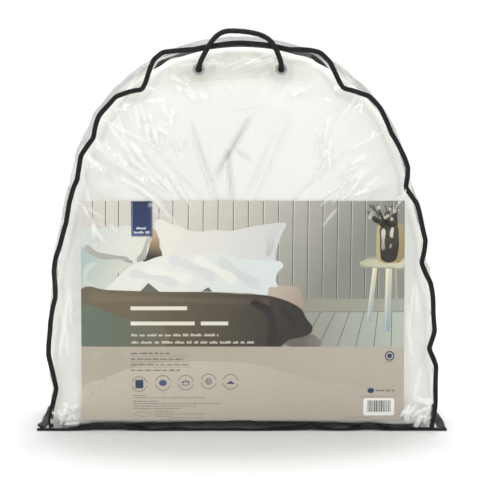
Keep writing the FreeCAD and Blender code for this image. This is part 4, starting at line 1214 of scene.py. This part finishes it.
def printOn(name, wanted):
    # shapes are laid out flat one step apart, cut along the squares, then bent onto the board
    shapes = []
    for shapeName, (layer, rounded, inks, outlines) in wanted.items():
        shapes.append((flatShape(shapeName, outlines, rounded), layer, inks))
    for index, (shape, layer, inks) in enumerate(shapes):
        points = meshPoints(shape)
        points[:, 0] = np.clip(points[:, 0], left, right)
        points[:, 1] = np.clip(points[:, 1], low, high)
        setPoints(shape, np.stack([points[:, 0] * mm, points[:, 0] * 0 - index * mm, points[:, 1] * mm], 1))
    sheet = joinAll(name, [shape for shape, _, _ in shapes])
    pick(sheet)
    bpy.ops.object.mode_set(mode="EDIT")
    edges = meshPoints(sheet)
    for axis, normal in ((0, (1, 0, 0)), (2, (0, 0, 1))):
        start, end = edges[:, axis].min() / mm, edges[:, axis].max() / mm
        step = card["square"]
        for cut in np.arange(math.ceil(start / step), math.floor(end / step) + 1) * step:
            bpy.ops.mesh.select_all(action="SELECT")
            spot = [0, 0, 0]
            spot[axis] = cut * mm
            bpy.ops.mesh.bisect(plane_co=spot, plane_no=normal)
    bpy.ops.object.mode_set(mode="OBJECT")
    points = meshPoints(sheet) / mm
    index = np.rint(-points[:, 1]).astype(int)
    x, z = points[:, 0], points[:, 2]
    layer = np.array([layer for _, layer, _ in shapes])[index]
    colours = np.ones((len(x), 4))
    for number, (_, _, inks) in enumerate(shapes):
        here = index == number
        (first, x1, z1), (second, x2, z2) = inks
        long = max((x2 - x1) ** 2 + (z2 - z1) ** 2, 1e-6)
        share = np.clip(((x[here] - x1) * (x2 - x1) + (z[here] - z1) * (z2 - z1)) / long, 0, 1)
        colours[here, :3] = np.outer(1 - share, first) + np.outer(share, second)
    sheet.data.attributes.new("ink", "FLOAT_COLOR", "POINT").data.foreach_set("color", colours.ravel())
    depth = cardDepth(x, z) - card["board"] / 2 - card["layer"] * 0.5 * (layer + 1) / 2
    setPoints(sheet, np.stack([x, depth, z], 1) * mm)
    return sheet


def makeCard():
    sheet = printOn("cardPrint", prints)
    sheet.data.materials.clear()
    sheet.data.materials.append(printedInk("printedCard", 0.55))
    board = printOn("cardBoard", {"board": (0, False, [(ink(226, 224, 218), 0, 0)] * 2,
                                            [bar(left, low, right, high)])})
    points = meshPoints(board)
    points[:, 1] += (card["board"] / 2 + card["layer"] * 0.25) * mm
    setPoints(board, points)
    giveWall(board, card["board"])
    board.data.materials.clear()
    board.data.materials.append(sheet.data.materials[0])
    whole = joinAll("insertCard", [sheet, board])
    dress(whole, None, ("insert_card",))
    sticker = printOn("barcodeSticker", stickerPrints)
    dress(sticker, printedInk("labelPaper", 0.35), ("barcode_label",))


makeCard()
print("card printed")

pillow = {
    "voxel": 5.0,
    "pressure": 4.0,
    "cap": 9.0,  # most that a point may move while the pillow is stuffed
    "filmGap": 3.4,
    "rimGap": 4.5,  # outer edge to the gusset, at mid depth
    # the two arms of the U press together below the crotch: its height, valley depth and half width
    "crotch": 280,
    "valley": 26,
    "valleyWidth": 6,
    "creaseDepth": 2.5,
    "creaseWidth": 0.9,
    # creases gathered towards the crotch: x1, z1, x2, z2, half width, depth
    "frontCreases": [(-70, 412, -33, 300, 3.4, 3.2), (15, 420, -42, 322, 3.6, 5.0),
                     (-20, 372, -12, 296, 3.2, 4.2), (68, 420, 18, 300, 4.0, 2.6),
                     (145, 370, 64, 300, 5.0, 1.6), (-18, 417, 40, 427, 4.0, 1.8),
                     (-10, 372, 12, 354, 3.2, 2.4), (-162, 392, -72, 302, 6.0, 1.4),
                     (44, 392, 6, 306, 3.6, 2.2), (-118, 372, -48, 300, 5, 1.3)],
    "backCreases": [(-80, 420, -20, 306, 4, 3.6), (20, 430, -4, 310, 4, 4.2), (84, 410, 22, 302, 4, 3.2),
                    (-150, 380, -40, 300, 5, 2.2), (150, 372, 44, 298, 5, 2.4), (-30, 452, 40, 446, 5, 1.6),
                    (-210, 180, -120, 200, 7, 1.8), (214, 210, 130, 190, 7, 1.8),
                    (-190, 90, -60, 110, 7, 1.6)],
}


def gussetReach(x, z):
    # how far a point lies inside the straight arch, and the outward direction there
    along = np.linspace(0, archLength, 700)
    ax, az, outX, outZ = archAt(along)
    near = np.empty(len(x), int)
    for start in range(0, len(x), 4000):
        part = slice(start, start + 4000)
        near[part] = ((x[part, None] - ax) ** 2 + (z[part, None] - az) ** 2).argmin(1)
    inside = (ax[near] - x) * outX[near] + (az[near] - z) * outZ[near]
    return inside, outX[near], outZ[near]


def makePillow():
    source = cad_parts["pillow_casing"]
    form = bpy.data.objects.new("curvedPillow", source.data.copy())
    form.data.name = "curvedPillow"
    scene.collection.objects.link(form)
    pick(form)
    bpy.ops.object.mode_set(mode="EDIT")
    bpy.ops.mesh.select_all(action="SELECT")
    bpy.ops.mesh.remove_doubles(threshold=0.00005)
    bpy.ops.mesh.separate(type="LOOSE")
    bpy.ops.object.mode_set(mode="OBJECT")
    shells = sorted(bpy.context.selected_objects, key=lambda o: -sum(o.dimensions))
    form = shells[0]
    for shell in shells[1:]:
        bpy.data.objects.remove(shell)
    form.name = form.data.name = "curvedPillow"
    pick(form)
    remesh = form.modifiers.new("remesh", "REMESH")
    remesh.mode = "VOXEL"
    remesh.voxel_size = pillow["voxel"] * mm
    ease = form.modifiers.new("ease", "SMOOTH")
    ease.factor = 0.5
    ease.iterations = 6
    applyModifiers(form)
    start = meshPoints(form)
    stuffing = form.modifiers.new("stuffing", "CLOTH")
    stuffing.settings.quality = 4
    stuffing.settings.mass = 0.25
    stuffing.settings.tension_stiffness = 22
    stuffing.settings.compression_stiffness = 22
    stuffing.settings.bending_stiffness = 0.6
    stuffing.settings.use_pressure = True
    stuffing.settings.uniform_pressure_force = pillow["pressure"]
    stuffing.settings.effector_weights.gravity = 0
    stuffing.point_cache.frame_start, stuffing.point_cache.frame_end = 1, 14
    for number in range(1, 15):
        scene.frame_set(number)
    pick(form)
    bpy.ops.object.modifier_apply(modifier=stuffing.name)
    scene.frame_set(1)
    moved = meshPoints(form) - start
    length = np.linalg.norm(moved, axis=1)[:, None]
    cap = pillow["cap"] * mm
    setPoints(form, start + moved * np.minimum(1, cap / np.maximum(length, 1e-9)))
    print("pillow stuffed, moved up to", round(float(length.max()) / mm, 1), "mm")
    finer = form.modifiers.new("finer", "SUBSURF")
    finer.levels = finer.render_levels = 1
    applyModifiers(form)
    points = meshPoints(form) / mm
    x, y, z = points.T
    inside, outX, outZ = gussetReach(x, z)
    # it fills the bag at mid depth
    grow = np.clip(inside - pillow["rimGap"], 0, None) * (1 - easeIn(inside, 14, 60))
    grow = grow * (1 - easeIn(np.abs(y), 58, 94))
    x, z = x + outX * grow, z + outZ * grow
    inside = inside - grow
    # the casing stays behind the film
    push = np.clip(2.6 - inside, 0, None)
    x, z = x - outX * push, z - outZ * push
    front = frontFilmDepth(x, z, seamGap(x, z), folds=False) + pillow["filmGap"]
    rear = backFilmDepth(x, z, seamGap(x, z, "back"), folds=False) - pillow["filmGap"]
    # its lower front edge settles forward and down into the foot of the bag
    settle = easeIn(-y, 25, 70) * (1 - easeIn(z, 12, 66))
    y = y + (front - y) * 0.85 * settle
    z = z - (z - 4) * 0.55 * settle * (1 - easeIn(z, 4, 50))
    # fullness, then creases gathered towards the crotch, then the rubbed rise and fall of the cloth
    face = easeIn(np.abs(y), 45, 92)
    sharper = {key: [(*ends, width * pillow["creaseWidth"], deep * pillow["creaseDepth"])
                     for *ends, width, deep in pillow[key]] for key in ("frontCreases", "backCreases")}
    hollow = foldRidges(x, z, sharper["frontCreases"]) * (y < 0)
    hollow += foldRidges(x, z, sharper["backCreases"]) * (y > 0)
    beside = foldRidges(x - 7, z + 2, pillow["frontCreases"]) * 0.35 * (y < 0)
    roll = np.where(y < 0, swell(x, z, 74, 61), swell(x, z, 80, 62)) * 0.9
    y = y + np.sign(y) * face * (roll + beside - 0.6)
    y = np.clip(y, front, rear)
    below = 1 - easeIn(z, pillow["crotch"] - 4, pillow["crotch"] + 12)
    parting = np.exp(-np.abs(x) / pillow["valleyWidth"]) * below
    y = y - np.sign(y) * face * (hollow + pillow["valley"] * parting)
    # the piped seam at mid depth
    piping = 1.9 * np.exp(-((y / 2.4) ** 2)) * (inside < 60)
    x, z = x + outX * piping * 0.7, z + outZ * piping * 0.7
    z = np.maximum(z, 2.2 + 0.4 * swell(x, y, 50, 3))
    setPoints(form, np.stack([x, y, z], 1) * mm)
    smoothShade(form)
    dress(form, whiteCotton, ("pillow_casing", "pillow_fill"))


backPanel = {
    "belly": 9.5,
    "clusters": [(-120, 330, 40, 60, -50, 22, 20, 3.4, 1.7), (140, 300, 40, 60, 55, 22, 20, 3.4, 1.7),
                 (0, 420, 30, 70, 8, 20, 16, 3.2, 1.4), (0, 220, 50, 90, 85, 25, 22, 3.8, 1.5),
                 (-190, 160, 20, 50, 80, 15, 12, 3.2, 1.5), (190, 160, 20, 50, 100, 15, 12, 3.2, 1.5)],
}
backFolds = sprayFolds(backPanel["clusters"], 19)


def backFilmDepth(x, z, gap, folds=True):
    zipGap = np.abs(z - 95.0)
    belly = backPanel["belly"] * (1 - np.exp(-gap / 20)) * (1 - np.exp(-((zipGap / 26) ** 2)))
    depth = backFace + 0.3 + belly
    if folds:
        depth = depth + foldRidges(x, z, backFolds, True) * easeIn(gap, 0, 14) * easeIn(zipGap, 8, 34)
    return depth


makePillow()
print("pillow made")


def makeBackFilms():
    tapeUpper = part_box("zip_tape_upper")
    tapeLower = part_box("zip_tape_lower")
    seamLine = tapeUpper[0].z / mm + 6.5
    lowLine = tapeLower[1].z / mm - 6.5
    along = np.linspace(0, archLength / 2, 900)
    start = np.interp(seamLine, archAt(along)[1], along)

    def upper(u, v):
        shoulder = archLength / 2 - 168
        left = start + v * (shoulder - start)
        lx, lz = seamAt(left, 3.0, "back")
        rx, rz = seamAt(archLength - left, 3.0, "back")
        tx, tz = seamAt(shoulder + u * (archLength - 2 * shoulder), 3.0, "back")
        c = [np.array(seamAt(np.array([s]), 3.0, "back")) for s in
             (start, archLength - start, shoulder, archLength - shoulder)]
        base = c[0] * (1 - u) + c[1] * u
        spot = (base * (1 - v) + np.array([tx, tz]) * v + np.array([lx, lz]) * (1 - u)
                + np.array([rx, rz]) * u - (c[0] * (1 - u) * (1 - v) + c[1] * u * (1 - v)
                                            + c[2] * (1 - u) * v + c[3] * u * v))
        x, z = spot
        depth = backFilmDepth(x, z, seamGap(x, z, "back"))
        return np.stack([x, depth, z], 1)

    film = fullGrid("backFilmUpper", 160, 140, upper)
    giveWall(film, 0.3)
    dress(film, clearFilm, ("back_panel_upper",))

    def lower(u, v):
        z = 2.0 + v * (lowLine - 2.0)
        half = np.interp(z, archAt(along)[1], -archAt(along)[0]) - 3
        x = (u * 2 - 1) * half
        depth = backFilmDepth(x, z, np.minimum(half - np.abs(x), z - 1.5) + 1)
        return np.stack([x, depth, z], 1)

    film = fullGrid("backFilmLower", 190, 34, lower)
    giveWall(film, 0.3)
    dress(film, clearFilm, ("back_panel_lower",))


makeBackFilms()


def makeBaseFilm():
    low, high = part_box("base_panel")

    def place(u, v):
        x = (low.x + u * (high.x - low.x)) / mm
        y = (low.y + v * (high.y - low.y)) / mm
        edge = np.maximum(easeIn(np.abs(x), 246, 262), 0)
        rise = 1.5 + 0.35 * swell(x, y, 60, 71) + edge * 1.2 * np.abs(swell(x, y, 16, 72))
        return np.stack([x, y, np.maximum(rise, 0.5)], 1)

    film = fullGrid("baseFilm", 180, 70, place)
    giveWall(film, 0.4)
    dress(film, doubledFilm, ("base_panel",))


makeBaseFilm()

patch = {"lowLeft": 457.0, "lowRight": 469.0}


def makeHandlePatch():
    low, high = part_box("handle_patch")

    def place(u, v):
        x = (low.x + u * (high.x - low.x)) / mm
        along = np.linspace(archLength / 2 - 200, archLength / 2 + 200, 200)
        sx, sz = seamAt(along, 5.0)
        top = np.minimum(np.interp(x, sx, sz), high.z / mm + 4)
        bottom = patch["lowLeft"] + u * (patch["lowRight"] - patch["lowLeft"])
        z = bottom + v * (top - bottom)
        return np.stack([x, frontFace + 0.55 + 0.12 * swell(x, z, 30, 81), z], 1)

    film = fullGrid("handlePatch", 90, 26, place)
    giveWall(film, 0.45)
    dress(film, doubledFilm, ("handle_patch",))


makeHandlePatch()
print("back, base and handle films made")


def plate(name, outlines, thickness, bevel):
    # a stamped plate: its outline and holes raised to a thickness with softened rims
    curve = bpy.data.curves.new(name, "CURVE")
    curve.dimensions = "2D"
    curve.fill_mode = "BOTH"
    curve.extrude = (thickness / 2 - bevel) * mm
    curve.bevel_depth = bevel * mm
    curve.bevel_resolution = 2
    curve.offset = -bevel * mm
    for points in outlines:
        spline = curve.splines.new("BEZIER")
        spline.bezier_points.add(len(points) - 1)
        for knot, (x, z) in zip(spline.bezier_points, points):
            knot.co = (x * mm, z * mm, 0)
            knot.handle_left_type = knot.handle_right_type = "AUTO"
        spline.resolution_u = 4
        spline.use_cyclic_u = True
    holder = bpy.data.objects.new(name, curve)
    scene.collection.objects.link(holder)
    pick(holder)
    bpy.ops.object.convert(target="MESH")
    made = bpy.context.object
    pick(made)
    bpy.ops.object.mode_set(mode="EDIT")
    bpy.ops.mesh.select_all(action="SELECT")
    bpy.ops.mesh.remove_doubles(threshold=0.00001)
    bpy.ops.mesh.normals_make_consistent(inside=False)
    bpy.ops.object.mode_set(mode="OBJECT")
    return made


def standUp(piece, y):
    # from lying flat to facing the back, at depth y
    points = meshPoints(piece)
    setPoints(piece, np.stack([points[:, 0], y * mm - points[:, 2], points[:, 1]], 1))
    return piece


zipParts = {"pitch": 2.0, "wire": 0.3, "reach": 1.3, "deep": 0.68}


def zipCoil(name, node, way, phase):
    low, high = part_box(node)
    turns = (high.x - low.x) / mm / zipParts["pitch"]
    steps = np.linspace(0, turns, int(turns * 8) + 1)
    turn = 2 * math.pi * (steps + phase)
    middleY = (low.y + high.y) / 2 / mm
    middleZ = (low.z if way > 0 else high.z) / mm + way * 0.55
    path = np.stack([low.x / mm + 0.4 + steps * zipParts["pitch"] * (1 - 0.8 / (turns * zipParts["pitch"])),
                     middleY + zipParts["deep"] * np.sin(turn),
                     middleZ + zipParts["reach"] * np.cos(turn)], 1)
    coil = tubes(name, [path], zipParts["wire"], 0)
    dress(coil, zipNylon, (node,))


def nylon():
    look, tree, plastic = newLook("zipNylon")
    tone = noiseOn(tree, placeOn(tree), 300, 2)
    tree.links.new(spread(tree, tone, 0.3, 0.7, (0.7, 0.7, 0.68), (0.8, 0.8, 0.78)),
                   plastic.inputs["Base Color"])
    plastic.inputs["Roughness"].default_value = 0.35
    bumpOn(tree, plastic, tone, 0.2, 0.1)
    return look


def zipCloth():
    look, tree, cloth = newLook("zipCloth")
    place = placeOn(tree)
    weave = sums(tree, waveOn(tree, place, 520, "X", 0.3), waveOn(tree, place, 520, "Z", 0.3))
    tone = noiseOn(tree, place, 160, 3)
    tree.links.new(spread(tree, tone, 0.3, 0.75, (0.66, 0.66, 0.64), (0.78, 0.78, 0.76)),
                   cloth.inputs["Base Color"])
    cloth.inputs["Roughness"].default_value = 0.8
    bumpOn(tree, cloth, sums(tree, weave, tone), 0.5, 0.25)
    return look


zipNylon = nylon()
clothLook = zipCloth()
zipCoil("zipCoilUpper", "zip_coil_upper", 1, 0.0)
zipCoil("zipCoilLower", "zip_coil_lower", -1, 0.5)


def makeZipTapes():
    for name, node, way in (("zipTapeUpper", "zip_tape_upper", 1), ("zipTapeLower", "zip_tape_lower", -1)):
        low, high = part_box(node)

        def place(u, v):
            x = (low.x + u * (high.x - low.x)) / mm
            z = (low.z + v * (high.z - low.z)) / mm
            edge = (z - low.z / mm) if way > 0 else (high.z / mm - z)
            bead = 0.28 * np.exp(-(((edge - 1.0) / 0.5) ** 2))
            ridge = 0.12 * np.exp(-(((edge - 8.5) / 0.35) ** 2))
            return np.stack([x, (low.y + high.y) / 2 / mm + bead + ridge + 0.08 * swell(x, z, 50, 91), z], 1)

        tape = fullGrid(name, 250, 28, place)
        giveWall(tape, 0.35)
        rows = [stitchRow("zipStitch", np.stack([np.linspace(low.x / mm + 2, high.x / mm - 2, 300),
                                                 np.full(300, high.y / mm + 0.2),
                                                 np.full(300, (low.z + high.z) / 2 / mm + way * 3.2)], 1),
                          np.tile((0.0, 0.0, 1.0), (300, 1)), 0, 0.0, 4.0)]
        stitches = joinAll(name + "Stitches", rows)
        dress(stitches, clothLook)
        dress(tape, clothLook, (node,))


makeZipTapes()


# how far back the middle of each piece of the slider stands
sliderDepth = {"wing": 98.2, "nose": 96.0, "bridge": 98.6, "guard": 97.4}


def makeSlider():
    low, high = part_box("zip_slider")
    x1, x2, z1, z2 = low.x / mm, high.x / mm, low.z / mm, high.z / mm
    middle = (z1 + z2) / 2
    wing = [(x1, middle - 2.4), (x1 + 1.2, z1 + 0.5), (x1 + 5, z1), (x2 - 1.5, z1 + 1.2), (x2, middle - 1.6),
            (x2, middle + 1.6), (x2 - 1.5, z2 - 1.2), (x1 + 5, z2), (x1 + 1.2, z2 - 0.5), (x1, middle + 2.4)]
    parts = [standUp(plate("wingBack", [wing], 1.2, 0.35), low.y / mm + 0.7),
             standUp(plate("wingFront", [wing], 1.3, 0.4), sliderDepth["wing"])]
    nose = [(x2 - 3.4, middle - 1.0), (x2 - 0.8, middle - 1.2),
            (x2 - 0.8, middle + 1.2), (x2 - 3.4, middle + 1.0)]
    parts.append(standUp(plate("sliderNose", [nose], 5.2, 0.25), sliderDepth["nose"]))
    turn = np.linspace(0, math.pi, 14)
    bridge = np.stack([x1 + 5.5 - np.cos(turn) * 2.6, sliderDepth["bridge"] + np.sin(turn) * 2.5,
                       np.full(14, middle)], 1)
    parts.append(tubes("bridge", [bridge], 0.75, 2))
    for rim in (z1 + 0.5, z2 - 0.5):
        guard = np.stack([np.linspace(x1 + 1.8, x2 - 2.4, 8), np.full(8, sliderDepth["guard"]),
                          np.full(8, rim)], 1)
        parts.append(tubes("guard", [guard], 0.45, 2))
    slider = joinAll("zipSlider", parts)
    dress(slider, zipMetal, ("zip_slider",), "slider")


def makePull():
    low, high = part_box("zip_pull")
    x1, x2, z1, z2 = low.x / mm, high.x / mm, low.z / mm, high.z / mm
    middle = (z1 + z2) / 2
    rim = [(x1, middle), (x1 + 0.9, z1 + 0.9), (x1 + 3.4, z1), (x1 + 12, z1 + 0.5), (x2 - 7.5, z1 + 1.4),
           (x2 - 3.4, z1 + 1.0), (x2 - 0.6, middle - 1.6), (x2, middle), (x2 - 0.6, middle + 1.6),
           (x2 - 3.4, z2 - 1.0), (x2 - 7.5, z2 - 1.4), (x1 + 12, z2 - 0.5), (x1 + 3.4, z2),
           (x1 + 0.9, z2 - 0.9)]
    eye = disc(x2 - 3.2, middle, 1.25, 8)
    slot = [(x1 + 4.2, middle - 1.2), (x1 + 13.5, middle - 0.8), (x1 + 14.6, middle),
            (x1 + 13.5, middle + 0.8), (x1 + 4.2, middle + 1.2), (x1 + 3.2, middle)]
    pull = standUp(plate("zipPull", [rim, eye, slot], (high.y - low.y) / mm, 0.28), (low.y + high.y) / 2 / mm)
    smoothByAngle(pull)
    dress(pull, zipMetal, ("zip_pull",), "pull")


def smoothByAngle(piece, angle=40):
    pick(piece)
    bpy.ops.object.shade_smooth_by_angle(angle=math.radians(angle))


makeSlider()
makePull()


def makeCareLabel():
    low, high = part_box("care_label")

    def place(u, v):
        x = (low.x + u * (high.x - low.x)) / mm
        z = (low.z + v * (high.z - low.z)) / mm
        y = (low.y + high.y) / 2 / mm + 1.2 * np.sin(v * 2.6) - 0.5 + 0.3 * swell(x, z, 22, 95)
        return np.stack([x, y, z], 1)

    label = fullGrid("careLabel", 24, 24, place)
    giveWall(label, 0.25)
    look, tree, satin = newLook("satinLabel")
    weave = waveOn(tree, placeOn(tree), 700, "Z", 0.2)
    rows = waveOn(tree, placeOn(tree), 70, "Z", 3.0)
    tree.links.new(spread(tree, rows, 0.62, 0.7, (0.8, 0.8, 0.78), (0.36, 0.36, 0.38)),
                   satin.inputs["Base Color"])
    satin.inputs["Roughness"].default_value = 0.35
    bumpOn(tree, satin, weave, 0.4, 0.15)
    dress(label, look, ("care_label",))


makeCareLabel()
for nodeName in ("eyelet_left", "eyelet_right", "eyelet_washer_left", "eyelet_washer_right"):
    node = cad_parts[nodeName]
    node.data.materials.clear()
    node.data.materials.append(nickel)
for nodeName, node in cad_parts.items():
    if "stop" in nodeName:
        node.data.materials.clear()
        node.data.materials.append(zipMetal)
print("zip, label and eyelets made")

floorLook = {"size": 3.6, "colour": (0.7, 0.7, 0.695)}
lamps = {
    # place in metres, size in metres, power in watts
    "stripLeft": ((-0.78, -1.95, 1.42), (0.16, 0.6), 7.2),
    "stripRight": ((0.8, -2.0, 1.35), (0.16, 0.6), 7.2),
    "boxTop": ((0.1, 0.9, 2.4), (1.2, 0.8), 42),
}


def makeStudio():
    letGo()
    bpy.ops.mesh.primitive_plane_add(size=floorLook["size"])
    floor = bpy.context.object
    floor.name = "studioFloor"
    look, tree, paint = newLook("studioPaint")
    grain = noiseOn(tree, placeOn(tree), 30, 2)
    low = floorLook["colour"]
    high = tuple(min(1, channel + 0.02) for channel in low)
    tree.links.new(spread(tree, grain, 0.3, 0.7, low, high), paint.inputs["Base Color"])
    paint.inputs["Roughness"].default_value = 0.7
    floor.data.materials.append(look)
    middle = Vector((0, 0, 0.25))
    for name, (place, size, power) in lamps.items():
        bpy.ops.object.light_add(type="AREA", location=place)
        lamp = bpy.context.object
        lamp.name = name
        lamp.data.shape = "RECTANGLE"
        lamp.data.size, lamp.data.size_y = size
        lamp.data.energy = power
        lamp.rotation_euler = (middle - lamp.location).to_track_quat("-Z", "Y").to_euler()
    world = bpy.data.worlds.new("studioWhite")
    world.use_nodes = True
    world.node_tree.nodes["Background"].inputs["Color"].default_value = (1, 1, 1, 1)
    world.node_tree.nodes["Background"].inputs["Strength"].default_value = 1.0
    scene.world = world
    scene.view_settings.view_transform = "Standard"


makeStudio()
print("studio lit")
